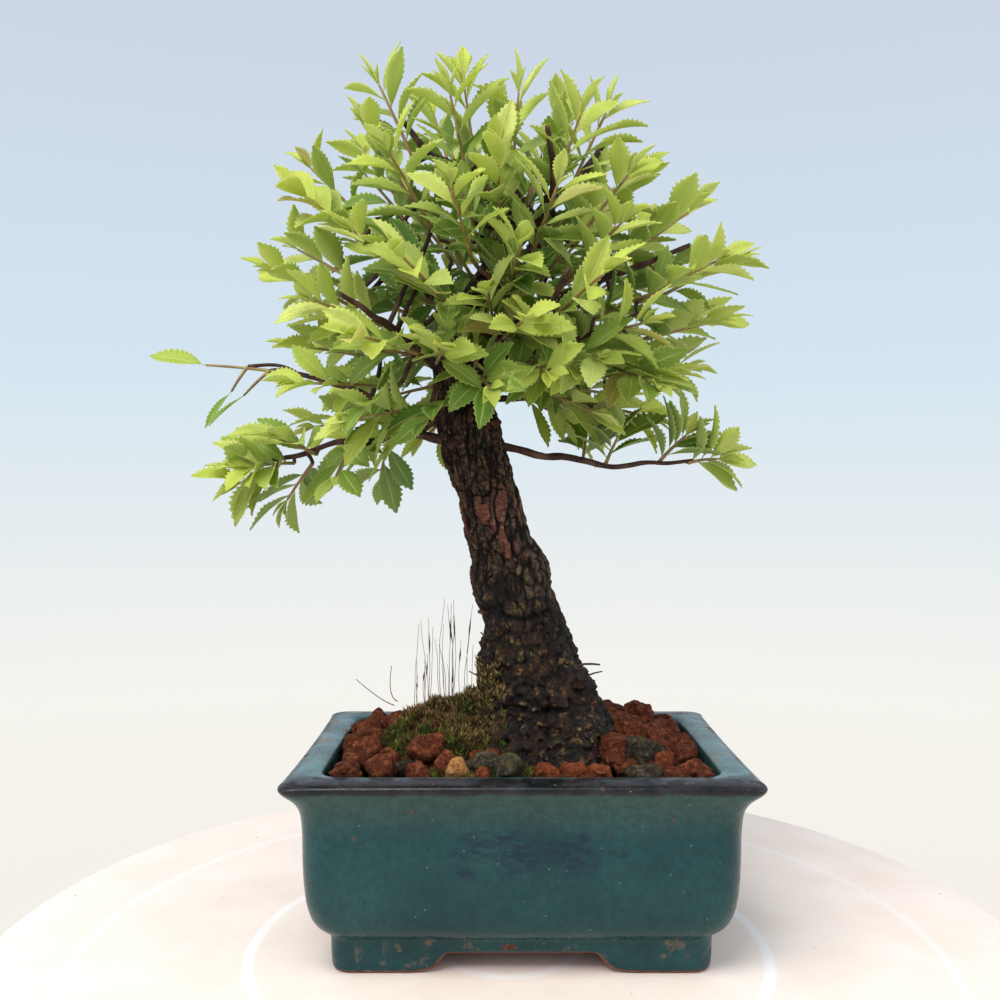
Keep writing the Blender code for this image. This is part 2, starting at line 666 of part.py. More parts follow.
def lump(centre, radius, seed, grow=0.0):
    """A broken, pitted stone: a ball pushed in and out unevenly and squashed a little."""
    bm = bmesh.new()
    bmesh.ops.create_icosphere(bm, subdivisions=2, radius=1.0)
    squash = Vector((1.0 + 0.22 * wave(seed, 1.0), 1.0 + 0.22 * wave(seed, 2.0),
                     0.82 + 0.12 * wave(seed, 3.0)))
    for vert in bm.verts:
        way = vert.co.normalized()
        out = 1 + 0.17 * wave(seed, 3 * way.x + 2 * way.z, 3 * way.y)
        vert.co = Vector((way.x * squash.x, way.y * squash.y, way.z * squash.z)) * out * radius
        vert.co += vert.co.normalized() * grow
    bmesh.ops.translate(bm, vec=centre, verts=bm.verts[:])
    return mesh_of(bm, "lump")


def tree_of(mesh):
    """Search tree over the faces of a mesh, for finding clashes."""
    return BVHTree.FromPolygons([v.co for v in mesh.vertices],
                                [tuple(p.vertices) for p in mesh.polygons])


def clashes(mesh, trees):
    """Whether the mesh crosses any of the shapes already placed."""
    own = tree_of(mesh)
    return any(own.overlap(other) for other in trees)


growth = [tree_of(trunk.data), tree_of(dry.data)] + [tree_of(pad.data) for pad in moss.values()]


def clear_of_growth(x, y, radius):
    """Whether a stone of this radius keeps off the trunk foot, the roots and the moss."""
    if math.hypot((x - TRUNK_FOOT.x) / 1.05, y - TRUNK_FOOT.y) < 1.327 * TRUNK_RADIUS + radius:
        return False
    for centre, half_x, half_y, _ in MOSS_PADS.values():
        spread_x = half_x * 1.1 + radius
        spread_y = half_y * 1.1 + radius
        if ((x - centre.x) / spread_x) ** 2 + ((y - centre.y) / spread_y) ** 2 < 1:
            return False
    return True


def snug(x, y, radius, spots):
    """Whether a stone just fits between the growth and the stones that already lie there."""
    ball = bmesh.new()
    bmesh.ops.create_icosphere(ball, subdivisions=2, radius=1.25 * radius + GAP)
    place = Vector((x, y, soil_height(x, y) + lift_top + 0.45 * radius))
    bmesh.ops.translate(ball, vec=place, verts=ball.verts[:])
    inside = math.hypot(x - TRUNK_FOOT.x, y - TRUNK_FOOT.y) < TRUNK_RADIUS
    for centre, half_x, half_y, _ in MOSS_PADS.values():
        inside = inside or math.hypot((x - centre.x) / half_x, (y - centre.y) / half_y) < 1
    if inside or clashes(mesh_of(ball, "ball"), growth):
        return False
    return all(math.hypot(x - a, y - b) > 1.24 * (radius + r) for a, b, r in spots)


def stone_spots(wanted):
    """Walk a spiral over the cavity and keep the spots that are free and far enough apart.
    Where large stones leave some without a place, a finer walk looks for snug spots."""
    spots = []
    for i in range(900):
        share = math.sqrt((i + 0.5) / 900)
        angle = i * math.pi * (3 - math.sqrt(5))
        radius = LUMP_RADIUS * (1 + 0.22 * wave(i, 0.7))
        room = radius * 1.45
        x = (CAVITY_X - room) * max(-1, min(1, 1.40 * share * math.cos(angle)))
        y = (CAVITY_Y - room) * max(-1, min(1, 1.40 * share * math.sin(angle)))
        far = all(math.hypot(x - a, y - b) > 1.35 * (radius + r) for a, b, r in spots)
        if far and clear_of_growth(x, y, radius * 1.15):
            spots.append((x, y, radius))
        if len(spots) == wanted:
            break
    walk = 0
    while len(spots) < wanted and walk < 4000:
        share = math.sqrt((walk + 0.5) / 4000)
        angle = walk * math.pi * (3 - math.sqrt(5))
        radius = LUMP_RADIUS * (0.86 + 0.10 * wave(walk, 0.7))
        x = (CAVITY_X - 1.3 * radius) * max(-1, min(1, 1.40 * share * math.cos(angle)))
        y = (CAVITY_Y - 1.3 * radius) * max(-1, min(1, 1.40 * share * math.sin(angle)))
        if snug(x, y, radius, spots):
            spots.append((x, y, radius))
        walk += 1
    return spots


def surface_name(x, y, number):
    """Name and surface of each stone: one tan, two mossy grey, the others red lava."""
    if number == 0:
        return "tan_stone", TAN
    if number in (1, 2):
        return f"mossy_stone_{number}", GREY
    return f"lava_lump_{number - 2:02d}", LAVA


spots = stone_spots(LUMP_COUNT + 3)
order = sorted(spots, key=lambda s: (s[0] + 0.021) ** 2 + (s[1] + 0.038) ** 2)
tan_spot = order[0]
grey = sorted([s for s in spots if s is not tan_spot],
              key=lambda s: (s[0] - 0.042) ** 2 + (s[1] + 0.030) ** 2)[:2]
rest = [s for s in spots if s is not tan_spot and s not in grey]
dimples = []
for number, (x, y, radius) in enumerate([tan_spot] + grey + rest):
    centre = Vector((x, y, soil_height(x, y) + lift_top + 0.45 * radius))
    name, surface = surface_name(x, y, number)
    put(name, lump(centre, radius, number + 1), surface)
    dimples.append((centre, radius, number + 1))
for centre, radius, seed in dimples:
    before = gravel.data.copy()
    for room in (1.4, 1.6, 1.8, 2.0):
        gravel.data = before.copy()
        combine(gravel, [lump(centre, radius, seed, GAP * room)], "DIFFERENCE")
        if keep_main_body(gravel):
            break
keep_main_body(gravel)


# ---------------------------------------------------------------- leafy shoots
def leaf(base, heading, up, length, width, thickness):
    """One leaf: narrow stalk, widest past the middle, folded along its middle, tip bent down."""
    side = heading.cross(up).normalized()
    top = side.cross(heading).normalized()
    bm = bmesh.new()
    bmesh.ops.create_grid(bm, x_segments=2, y_segments=3, size=0.5)
    profile = (0.07, 0.90, 0.86, 0.09)
    places = (0.0, 0.34, 0.70, 1.0)
    for vert in bm.verts:
        row = round((vert.co.y + 0.5) * 3)
        across = vert.co.x * 2
        along = places[row] * length
        spread = across * width * 0.5 * profile[row]
        raised = abs(spread) * 0.42 - 0.10 * length * places[row] ** 2
        vert.co = base + heading * along + side * spread + top * raised
    bmesh.ops.recalc_face_normals(bm, faces=bm.faces[:])
    bmesh.ops.solidify(bm, geom=bm.faces[:], thickness=thickness)
    bmesh.ops.translate(bm, vec=-top * thickness / 2, verts=bm.verts[:])
    return mesh_of(bm, "leaf")


def turned(vector, axis, degrees):
    """The vector turned about an axis."""
    return Matrix.Rotation(math.radians(degrees), 3, axis) @ vector


SHOOT_KNOTS = (0.0, 0.09, 0.40, 0.70, 1.0)


def grow_shoot(number, tip, heading, placed):
    """One shoot with its leaves in two ranks and one at the end, clear of everything placed."""
    for attempt in range(14):
        way = turned(heading, Vector((0, 0, 1)), 17 * ((attempt + 1) // 2) * (-1) ** attempt)
        reach = SHOOT_LENGTH * (1 + 0.12 * wave(number, 1.0)) * (1 - 0.05 * attempt)
        start = tip + heading * GAP * 1.15
        path = []
        for t in SHOOT_KNOTS:
            bow = Vector((0, 0, -0.10 * t * t))
            blend = heading.lerp(way, max(0.0, min(1.0, 1.6 * t - 0.15)))
            path.append(start + (blend + bow) * reach * t)
        radii = [SHOOT_RADIUS * (1.1 - 0.45 * t) for t in SHOOT_KNOTS]
        wide = tube("wide", path[1:], [r + GAP for r in radii[1:]])
        stem = tube("stem", path, radii)
        if not clashes(wide, placed) and not clashes(stem, placed):
            break
    leaves = []
    own = []
    across = way.cross(Vector((0, 0, 1))).normalized()
    tilt = 38 * math.sin(2.4 * number + 0.6)
    for k in range(LEAVES_PER_SHOOT):
        t = 0.20 + 0.80 * k / (LEAVES_PER_SHOOT - 1)
        below = max(i for i, knot in enumerate(SHOOT_KNOTS[:-1]) if knot <= t)
        low, high = SHOOT_KNOTS[below], SHOOT_KNOTS[below + 1]
        seat = path[below].lerp(path[below + 1], (t - low) / (high - low))
        last = k == LEAVES_PER_SHOOT - 1
        rank = 0 if last else (1 if k % 2 else -1)
        scale = (0.78 + 0.30 * math.sin(math.pi * (0.15 + 0.75 * t))) * (1 + 0.08 * wave(k, number))
        if last:
            seat = path[-1] - (path[-1] - path[-2]) * 0.12
        for attempt in range(12):
            swing = rank * (52 + 7 * wave(number, k)) + 13 * ((attempt + 1) // 2) * (-1) ** attempt
            roll = tilt + 16 * wave(number + k, 2.0) + 11 * (attempt % 5) * (-1) ** attempt
            pointing = turned(way, turned(Vector((0, 0, 1)), way, roll), swing)
            pointing = (pointing + Vector((0, 0, 0.12 * wave(k, number)))).normalized()
            up = turned(Vector((0, 0, 1)), pointing, roll * 0.6 + rank * 12)
            if abs(pointing.dot(up)) > 0.95:
                up = across
            size = scale * (1 - 0.03 * attempt)
            test = leaf(seat, pointing, up, LEAF_LENGTH * size + 2 * GAP,
                        LEAF_WIDTH * size + 2 * GAP, LEAF_THICKNESS + 2.4 * GAP)
            if not clashes(test, placed + own):
                blade = leaf(seat, pointing, up, LEAF_LENGTH * size, LEAF_WIDTH * size,
                             LEAF_THICKNESS)
                leaves.append(blade)
                own.append(tree_of(blade))
                break
    spray = put(f"leaf_spray_{number + 1:02d}", stem, LEAF)
    kept = 0
    for blade in leaves:
        before = spray.data.copy()
        combine(spray, [blade], "UNION")
        if keep_main_body(spray):
            kept += 1
        else:
            spray.data = before
    return spray, kept


placed = [tree_of(trunk.data), tree_of(dry.data)]
leaf_total = 0
for number, (tip, heading) in enumerate(tips):
    spray, count = grow_shoot(number, tip, heading, placed)
    placed.append(tree_of(spray.data))
    leaf_total += count
print("leaves placed:", leaf_total)

# ---------------------------------------------------------------- origin below the middle
lows = [min(v.co[axis] for o in parts.objects for v in o.data.vertices) for axis in range(3)]
highs = [max(v.co[axis] for o in parts.objects for v in o.data.vertices) for axis in range(3)]
holder = bpy.data.objects.new("bonsai", None)
parts.objects.link(holder)
holder.location = (-(lows[0] + highs[0]) / 2, -(lows[1] + highs[1]) / 2, -lows[2])
for item in list(parts.objects):
    if item is not holder:
        item.parent = holder
print("size:", [round(high - low, 4) for low, high in zip(lows, highs)])
print("middle:", [round((high + low) / 2, 4) for low, high in zip(lows, highs)])
for mesh in list(bpy.data.meshes):
    if mesh.users == 0:
        bpy.data.meshes.remove(mesh)
bpy.context.view_layer.update()
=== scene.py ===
# %% [markdown]
# # An elm bonsai in a glazed pot
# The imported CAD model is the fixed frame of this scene: it says where the pot, the soil, the
# trunk and the leafy shoots are.  Everything made here is laid over that frame, finer and with
# its real finish.  All lengths are in metres.
# %% Load the frame
import math
import bpy
import numpy as np
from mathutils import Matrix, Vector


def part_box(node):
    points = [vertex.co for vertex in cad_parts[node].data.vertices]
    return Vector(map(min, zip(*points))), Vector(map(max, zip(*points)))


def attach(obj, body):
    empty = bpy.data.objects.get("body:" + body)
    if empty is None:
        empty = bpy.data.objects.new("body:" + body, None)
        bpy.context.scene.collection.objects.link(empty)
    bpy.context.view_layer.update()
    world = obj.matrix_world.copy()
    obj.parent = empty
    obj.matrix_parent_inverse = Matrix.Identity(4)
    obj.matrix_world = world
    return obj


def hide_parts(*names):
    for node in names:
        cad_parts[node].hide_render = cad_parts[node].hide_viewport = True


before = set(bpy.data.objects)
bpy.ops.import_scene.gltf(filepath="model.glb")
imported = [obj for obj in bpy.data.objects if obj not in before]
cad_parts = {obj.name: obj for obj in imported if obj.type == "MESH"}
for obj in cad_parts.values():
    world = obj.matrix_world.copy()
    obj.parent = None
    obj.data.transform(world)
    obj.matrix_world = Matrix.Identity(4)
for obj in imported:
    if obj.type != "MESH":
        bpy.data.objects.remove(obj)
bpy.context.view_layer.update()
pot_low, pot_high = (np.array(corner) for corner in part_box("pot"))
pot_middle = np.array([*(pot_low + pot_high)[:2] / 2, pot_low[2]])
print("pot box", pot_low, pot_high)

# %% [markdown]
# ## Meshes from arrays
# A surface here is an array of points in rows and columns.  Neighbouring points make four-sided
# faces, and a closed form gets one extra point at each pole.  Working on whole arrays keeps the
# recipe short and lets one function make a thousand leaves as easily as one.  Pieces are worked
# out around the middle of the pot and moved once, when the mesh is written.
# %% Write arrays into a mesh


def write_piece(name, points, faces, uv=None, marks=None, kinds=None, smooth=True):
    """Points (n x 3) and faces (lists of index arrays) become one object at the origin.
    marks are extra numbers per point for the material to read; kinds are material numbers."""
    mesh = bpy.data.meshes.new(name)
    points = np.asarray(points, dtype=np.float64).reshape(-1, 3) + pot_middle
    sizes = np.concatenate([np.full(len(f), f.shape[1]) for f in faces])
    corners = np.concatenate([f.ravel() for f in faces]).astype(np.int32)
    mesh.vertices.add(len(points))
    mesh.vertices.foreach_set("co", points.ravel())
    mesh.loops.add(len(corners))
    mesh.loops.foreach_set("vertex_index", corners)
    mesh.polygons.add(len(sizes))
    mesh.polygons.foreach_set("loop_start", np.concatenate([[0], np.cumsum(sizes)[:-1]]))
    mesh.polygons.foreach_set("use_smooth", np.full(len(sizes), smooth))
    if kinds is not None:
        mesh.polygons.foreach_set("material_index", np.asarray(kinds, dtype=np.int32))
    if uv is not None:
        layer = mesh.uv_layers.new(name="surface")
        layer.data.foreach_set("uv", np.asarray(uv).reshape(-1, 2)[corners].ravel())
    for label, values in (marks or {}).items():
        mark = mesh.attributes.new(label, "FLOAT", "POINT")
        mark.data.foreach_set("value", np.asarray(values, dtype=np.float32).ravel())
    mesh.update(calc_edges=True)
    mesh.validate()
    piece = bpy.data.objects.new(name, mesh)
    bpy.context.scene.collection.objects.link(piece)
    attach(piece, "root")
    return piece


def ring_faces(rows, cols, start=0):
    """Four-sided faces of a grid whose last column joins its first."""
    index = start + np.arange(rows * cols).reshape(rows, cols)
    right = np.roll(index, -1, axis=1)
    return np.stack([index[:-1], right[:-1], right[1:], index[1:]], -1).reshape(-1, 4)


def capped_faces(rows, cols):
    """Faces of a ringed grid closed by one point before its first and one after its last row."""
    body = ring_faces(rows, cols, 1)
    first = 1 + np.arange(cols)
    last = first + (rows - 1) * cols
    low = np.stack([np.zeros(cols, int), np.roll(first, -1), first], -1)
    high = np.stack([np.full(cols, 1 + rows * cols), last, np.roll(last, -1)], -1)
    return body, np.concatenate([low, high])


def close_ends(grid):
    """The points of a ringed grid (rows x cols x 3) with the middle of each end row added."""
    return np.concatenate([grid[0].mean(0)[None], grid.reshape(-1, 3), grid[-1].mean(0)[None]])


def close_marks(values):
    """A number per grid point, with the mean of each end row for the points that close it."""
    return np.concatenate([[values[0].mean()], values.ravel(), [values[-1].mean()]])


# %% [markdown]
# ## Unevenness
# Bark, lava and moss are irregular but not random noise on every point: neighbouring points
# move together.  Value noise gives that: fixed random numbers sit on the corners of a lattice
# and are blended smoothly in between.  Adding finer and finer layers gives crumbly detail.
# %% Smooth unevenness and cracked plates


def mixed(*whole):
    """Scrambles whole numbers into repeatable random numbers between 0 and 1."""
    value = np.zeros(np.broadcast(*whole).shape, dtype=np.uint64)
    with np.errstate(over="ignore"):
        for part, factor in zip(whole, (374761393, 668265263, 2246822519, 3266489917)):
            value = value + np.asarray(part).astype(np.int64).astype(np.uint64) * np.uint64(factor)
        value = (value ^ (value >> np.uint64(13))) * np.uint64(1274126177)
    value = (value ^ (value >> np.uint64(16))) & np.uint64(0xFFFFF)
    return value.astype(np.float64) / 0xFFFFF


def uneven(points, seed, layers=1, falloff=0.5):
    """Value noise between -1 and 1, each further layer twice as fine and fainter."""
    total, weight, size = 0.0, 0.0, 1.0
    points = np.asarray(points, dtype=np.float64)
    for layer in range(layers):
        place = points / size + 17.3 * layer
        cell = np.floor(place)
        part = place - cell
        part = part * part * (3 - 2 * part)
        value = 0.0
        for dx in (0, 1):
            for dy in (0, 1):
                for dz in (0, 1):
                    share = ((part[..., 0] if dx else 1 - part[..., 0])
                             * (part[..., 1] if dy else 1 - part[..., 1])
                             * (part[..., 2] if dz else 1 - part[..., 2]))
                    value = value + share * mixed(cell[..., 0] + dx, cell[..., 1] + dy,
                                                  cell[..., 2] + dz, seed + layer)
        total = total + (value * 2 - 1) * falloff ** layer
        weight += falloff ** layer
        size *= 0.5
    return total / weight


def plates(u, v, around, seed):
    """Cracked plates on a wrapped sheet: distance to the nearest crack and a number per plate.
    Every lattice cell holds one jittered seed point; a plate is what lies nearest to it."""
    jitter = 0.8
    cell_u, cell_v = np.floor(u), np.floor(v)
    first = np.full(u.shape, 9.0)
    second = np.full(u.shape, 9.0)
    owner = np.zeros(u.shape)
    for du in (-1, 0, 1):
        for dv in (-1, 0, 1):
            cu, cv = cell_u + du, cell_v + dv
            key = np.mod(cu, around)
            seed_u = cu + 0.5 + jitter * (mixed(key, cv, seed) - 0.5)
            seed_v = cv + 0.5 + jitter * (mixed(key, cv, seed + 7) - 0.5)
            far = np.hypot(u - seed_u, v - seed_v)
            nearer = far < first
            second = np.where(nearer, first, np.minimum(second, far))
            owner = np.where(nearer, mixed(key, cv, seed + 13), owner)
            first = np.where(nearer, far, first)
    return second - first, owner


def scatter(count, seed, *extra):
    """Repeatable random numbers between 0 and 1."""
    return mixed(np.arange(count), seed, *extra, 5)


def smoothed(keys, values, at):
    """Values between the keys, on a curve without kinks (cubic with matched slopes)."""
    keys, values = np.asarray(keys, float), np.asarray(values, float)
    slopes = np.gradient(values, keys, axis=0)
    spot = np.clip(np.searchsorted(keys, at, side="right") - 1, 0, len(keys) - 2)
    span = keys[spot + 1] - keys[spot]
    t = np.clip((at - keys[spot]) / span, 0, 1)
    if values.ndim > 1:
        t, span = t[:, None], span[:, None]
    a, b = values[spot], values[spot + 1]
    ga, gb = slopes[spot] * span, slopes[spot + 1] * span
    return ((2 * t ** 3 - 3 * t ** 2 + 1) * a + (t ** 3 - 2 * t ** 2 + t) * ga
            + (-2 * t ** 3 + 3 * t ** 2) * b + (t ** 3 - t ** 2) * gb)


# %% [markdown]
# ## Materials
# Each finish is a small graph of nodes.  A helper adds a node and fills or links its inputs by
# name, so a recipe reads from top to bottom.  Patterns read the object's own coordinates, its
# leaf map, or the numbers written on its points, so they stay put when the view turns.
# %% A short way to write node graphs


def colour(red, green, blue):
    """A screen colour (0 to 255) as the light amounts that a shader needs."""
    part = np.array([red, green, blue]) / 255
    return tuple(np.where(part <= 0.04045, part / 12.92, ((part + 0.055) / 1.055) ** 2.4))


class Finish:
    """A material under construction."""

    def __init__(self, name):
        self.material = bpy.data.materials.new(name)
        self.material.use_nodes = True
        self.nodes = self.material.node_tree.nodes
        self.links = self.material.node_tree.links
        self.surface = self.nodes["Principled BSDF"]
        self.end = self.nodes["Material Output"]
        coordinates = self.nodes.new("ShaderNodeTexCoord")
        self.place = coordinates.outputs["Object"]
        self.map = coordinates.outputs["UV"]

    def put(self, socket, value):
        """Link a socket, or set its plain value."""
        if isinstance(value, bpy.types.NodeSocket):
            self.links.new(value, socket)
        elif value is not None:
            socket.default_value = value

    def add(self, kind, inputs=None, **settings):
        """A node of a kind with its settings and inputs."""
        node = self.nodes.new("ShaderNode" + kind)
        for key, value in settings.items():
            setattr(node, key, value)
        for key, value in (inputs or {}).items():
            self.put(node.inputs[key], value)
        return node

    def noise(self, scale, detail=3.0, rough=0.55, stretch=None):
        """Cloudy noise at a scale per metre, stretched where asked."""
        source = self.place
        if stretch is not None:
            source = self.add("Mapping", {"Vector": source, "Scale": stretch}).outputs[0]
        node = self.add("TexNoise", {"Vector": source, "Scale": scale, "Detail": detail,
                                     "Roughness": rough})
        return node.outputs["Fac"]

    def cells(self, scale):
        """Cell pattern: distance to the nearest seed."""
        return self.add("TexVoronoi", {"Vector": self.place, "Scale": scale}).outputs["Distance"]

    def ramp(self, factor, *stops):
        """Colour or grey by a factor: a stop is a position and then a grey amount, or a
        position and then the red, green and blue of a screen colour."""
        node = self.add("ValToRGB", {"Fac": factor})
        bar = node.color_ramp
        while len(bar.elements) < len(stops):
            bar.elements.new(0.5)
        for element, (position, *tone) in zip(bar.elements, stops):
            element.position = position
            element.color = (*(colour(*tone) if len(tone) == 3 else tone * 3), 1.0)
        return node.outputs["Color"]

    def along(self, length, *stops, gain=12.0, start=0.0, wander=None):
        """A ramp over a length in metres.  A ramp only reads 0 to 1, so the length is counted
        from a start and multiplied by a gain; wander is an uneven amount added to it."""
        factor = self.sum("MULTIPLY_ADD", length, gain, -start * gain)
        if wander is not None:
            factor = self.sum("ADD", factor, wander)
        return self.ramp(factor, *(((place - start) * gain, *tone) for place, *tone in stops))

    def blend(self, factor, low, high, kind="MIX"):
        """Mix of two colours."""
        node = self.add("Mix", data_type="RGBA", blend_type=kind)
        self.put(node.inputs[0], factor)
        for spot, value in ((6, low), (7, high)):
            plain = not isinstance(value, bpy.types.NodeSocket)
            self.put(node.inputs[spot], (*value, 1.0) if plain else value)
        return node.outputs[2]

    def sum(self, kind, first, second=None, third=None):
        """A sum done on numbers: add, multiply, power and so on."""
        node = self.add("Math", operation=kind)
        for spot, value in enumerate((first, second, third)):
            self.put(node.inputs[spot], value)
        return node.outputs[0]

    def times(self, first, second):
        """The product of two numbers."""
        return self.sum("MULTIPLY", first, second)

    def apart(self, value, centre):
        """How far a number is from a centre, whichever side it lies on."""
        return self.sum("ABSOLUTE", self.sum("SUBTRACT", value, centre))

    def axes(self, vector=None):
        """X, Y and Z of a vector, or of the place on the object."""
        return self.add("SeparateXYZ", {"Vector": vector or self.place}).outputs

    def facing_up(self, *stops):
        """A ramp over how much the surface faces up: 0 for a wall, 1 for a flat top."""
        return self.ramp(self.axes(self.add("NewGeometry").outputs["Normal"])["Z"], *stops)

    def mark(self, label):
        """A number that was written on the points of the mesh."""
        return self.add("Attribute", attribute_name=label).outputs["Fac"]

    def bump(self, height, strength, distance, under=None):
        """Fine relief of the surface."""
        node = self.add("Bump", {"Height": height, "Strength": strength, "Distance": distance,
                                 "Normal": under})
        return node.outputs["Normal"]

    def skin(self, **inputs):
        """Fill the main shader: names use _ for spaces."""
        for key, value in inputs.items():
            self.put(self.surface.inputs[key.replace("_", " ")], value)
        return self.material


# %% [markdown]
# ## The pot
# A slip-cast stoneware pot: four nearly straight walls that curve in above the feet, a rim
# rolled outward with drawn-out corners, and four scroll-cut feet.  Turning would not give a
# rectangle, so the cross-section of the wall is carried around a rounded rectangle instead:
# one direction of the grid runs around the pot, the other from the underside over the rim to
# the floor inside.  The gap between two feet is simply a lower edge that rises.
# %% Path around the pot
SKIN_GAP = 0.0002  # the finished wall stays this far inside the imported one
pot_half = (pot_high - pot_low)[:2] / 2 - SKIN_GAP
pot_height = pot_high[2] - pot_low[2]
LIP_WIDTH, LIP_THICK, LIP_HOLLOW = 0.0115, 0.0062, 0.0006
FOOT_HEIGHT, FOOT_INSET, FOOT_WALL = 0.011, 0.0138, 0.009
APRON_GAP, FLOOR_TOP = 0.0062, 0.016


def around_pot(inset_x, inset_y, radius, pull, hollow=0.0, per_side=(56, 40), per_corner=11):
    """Rounded rectangle as x, y: four straight runs and four quarter circles, anticlockwise.
    pull draws the middle of each corner outward by a squared sine of the corner angle, and
    hollow draws each side inward, most in its middle."""
    half_x, half_y = pot_half[0] - inset_x, pot_half[1] - inset_y
    turn = (np.arange(per_corner) + 0.5) / per_corner
    reach = radius + pull * np.sin(np.pi * turn) ** 2
    xs, ys = [], []
    for quarter in range(4):
        sx = 1 if quarter in (0, 3) else -1
        sy = 1 if quarter in (0, 1) else -1
        angle = (quarter + turn) * np.pi / 2
        xs.append(sx * (half_x - radius) + reach * np.cos(angle))
        ys.append(sy * (half_y - radius) + reach * np.sin(angle))
        count = per_side[quarter % 2]
        run = 1 - 2 * (np.arange(count) + 0.5) / count
        dip = hollow * (1 - np.abs(run) ** 2.2)
        if quarter % 2 == 0:
            xs.append(sy * run * (half_x - radius))
            ys.append(sy * (half_y - dip))
        else:
            xs.append(-sy * (half_x - dip))
            ys.append(sy * run * (half_y - radius))
    return np.stack([np.concatenate(xs), np.concatenate(ys)], -1)


def foot_edge(x, y):
    """Height of the lower edge: zero under a foot, then a long shallow slope and a steep
    quarter-round up to the flat edge between the feet."""
    foot_x, foot_y = pot_half - FOOT_INSET
    on_front = np.abs(np.abs(y) - foot_y) < np.abs(np.abs(x) - foot_x)
    away = np.where(on_front, np.abs(x), np.abs(y))
    span = np.where(on_front, 0.036, 0.0235)
    flat = np.where(on_front, 0.0235, 0.0130)
    t = np.clip((span - away) / (span - flat), 0, 1)
    slope = 0.26 * np.clip(t / 0.7, 0, 1) ** 1.4
    late = np.clip((t - 0.7) / 0.3, 0, 1)
    return APRON_GAP * (slope + 0.74 * np.sqrt(1 - (1 - late) ** 2))


# %% Carry the wall's cross-section around it
top = pot_height
body = top - LIP_THICK - 0.0016 - FOOT_HEIGHT
FOOT_INNER, UNDERSIDE = FOOT_INSET + FOOT_WALL, FOOT_HEIGHT - 0.001
# Rows: inset from the rim, height, corner radius, corner pull, share of the foot edge's rise.
wall = [(0.0650, UNDERSIDE, 0.003, 0, 0), (0.0470, UNDERSIDE, 0.003, 0, 0),
        (FOOT_INNER + 0.001, UNDERSIDE, 0.003, 0, 0),
        (FOOT_INNER, FOOT_HEIGHT - 0.002, 0.003, 0, 0), (FOOT_INNER, 0.0008, 0.003, 0, 1),
        (FOOT_INNER - 0.0007, 0.0, 0.004, 0, 1),
        (FOOT_INSET + 0.0016, 0.0, 0.006, 0, 1), (FOOT_INSET + 0.0006, 0.0004, 0.006, 0, 1),
        (FOOT_INSET + 0.0001, 0.0014, 0.0065, 0, 0.97),
        (FOOT_INSET - 0.0002, FOOT_HEIGHT * 0.55, 0.0068, 0, 0.45),
        (FOOT_INSET - 0.0002, FOOT_HEIGHT * 0.90, 0.0070, 0, 0),
        (FOOT_INSET - 0.0006, FOOT_HEIGHT * 1.02, 0.0072, 0, 0)]
# The wall's own outline: share of its height, inset.
for share, inset in ((0.02, 0.0122), (0.05, 0.0104), (0.09, 0.0088), (0.14, 0.0077),
                     (0.21, 0.0067), (0.31, 0.0060), (0.45, 0.0055), (0.62, 0.0053),
                     (0.76, 0.0053)):
    wall.append((inset, FOOT_HEIGHT + share * body, 0.0100, 0, 0))
# The rolled lip: drop below the top in lip thicknesses, inset, corner pull.
for drop, inset, pull in ((2.10, 0.0051, 0.0), (1.72, 0.0045, 0.0), (1.40, 0.0037, 0.0003),
                          (1.12, 0.0028, 0.0008), (0.90, 0.0018, 0.0014), (0.70, 0.0009, 0.0019),
                          (0.53, 0.0003, 0.0022), (0.38, 0.0, 0.0023), (0.26, 0.0001, 0.0023),
                          (0.16, 0.0008, 0.0020), (0.09, 0.0021, 0.0014), (0.04, 0.0042, 0.0007),
                          (0.01, 0.0066, 0.0002), (0.02, 0.0088, 0), (0.08, LIP_WIDTH - 0.0010, 0),
                          (0.22, LIP_WIDTH - 0.0002, 0)):
    wall.append((inset, top - drop * LIP_THICK, 0.0085, pull, 0))
# The inside: inset from the lip's inner edge, height.
for inset, z in ((0.0, top - 0.003), (0.0004, top - 0.012), (0.0012, FLOOR_TOP + 0.018),
                 (0.0030, FLOOR_TOP + 0.006), (0.0060, FLOOR_TOP + 0.001), (0.012, FLOOR_TOP),
                 (0.036, FLOOR_TOP)):
    wall.append((LIP_WIDTH + inset, z, 0.0085, 0, 0))
ground_line = around_pot(FOOT_INSET, FOOT_INSET, 0.006, 0)
rise = foot_edge(ground_line[:, 0], ground_line[:, 1])
HOLLOW_FROM, INNER_FROM, INNER_SHARE = 0.0087, 0.03, 0.62
pot_grid = []
for inset, z, radius, pull, lift in wall:
    inset_y = FOOT_INNER + (inset - 0.0245) * INNER_SHARE if inset > INNER_FROM else inset
    on_lip = inset < HOLLOW_FROM and z > top - 1.4 * LIP_THICK
    ring = around_pot(inset, min(inset_y, pot_half[1] - radius - 0.002), radius, pull,
                      LIP_HOLLOW * (1 - inset / HOLLOW_FROM) if on_lip else 0.0)
    pot_grid.append(np.column_stack([ring, z + lift * rise]))
pot_grid = np.array(pot_grid)
columns = pot_grid.shape[1]

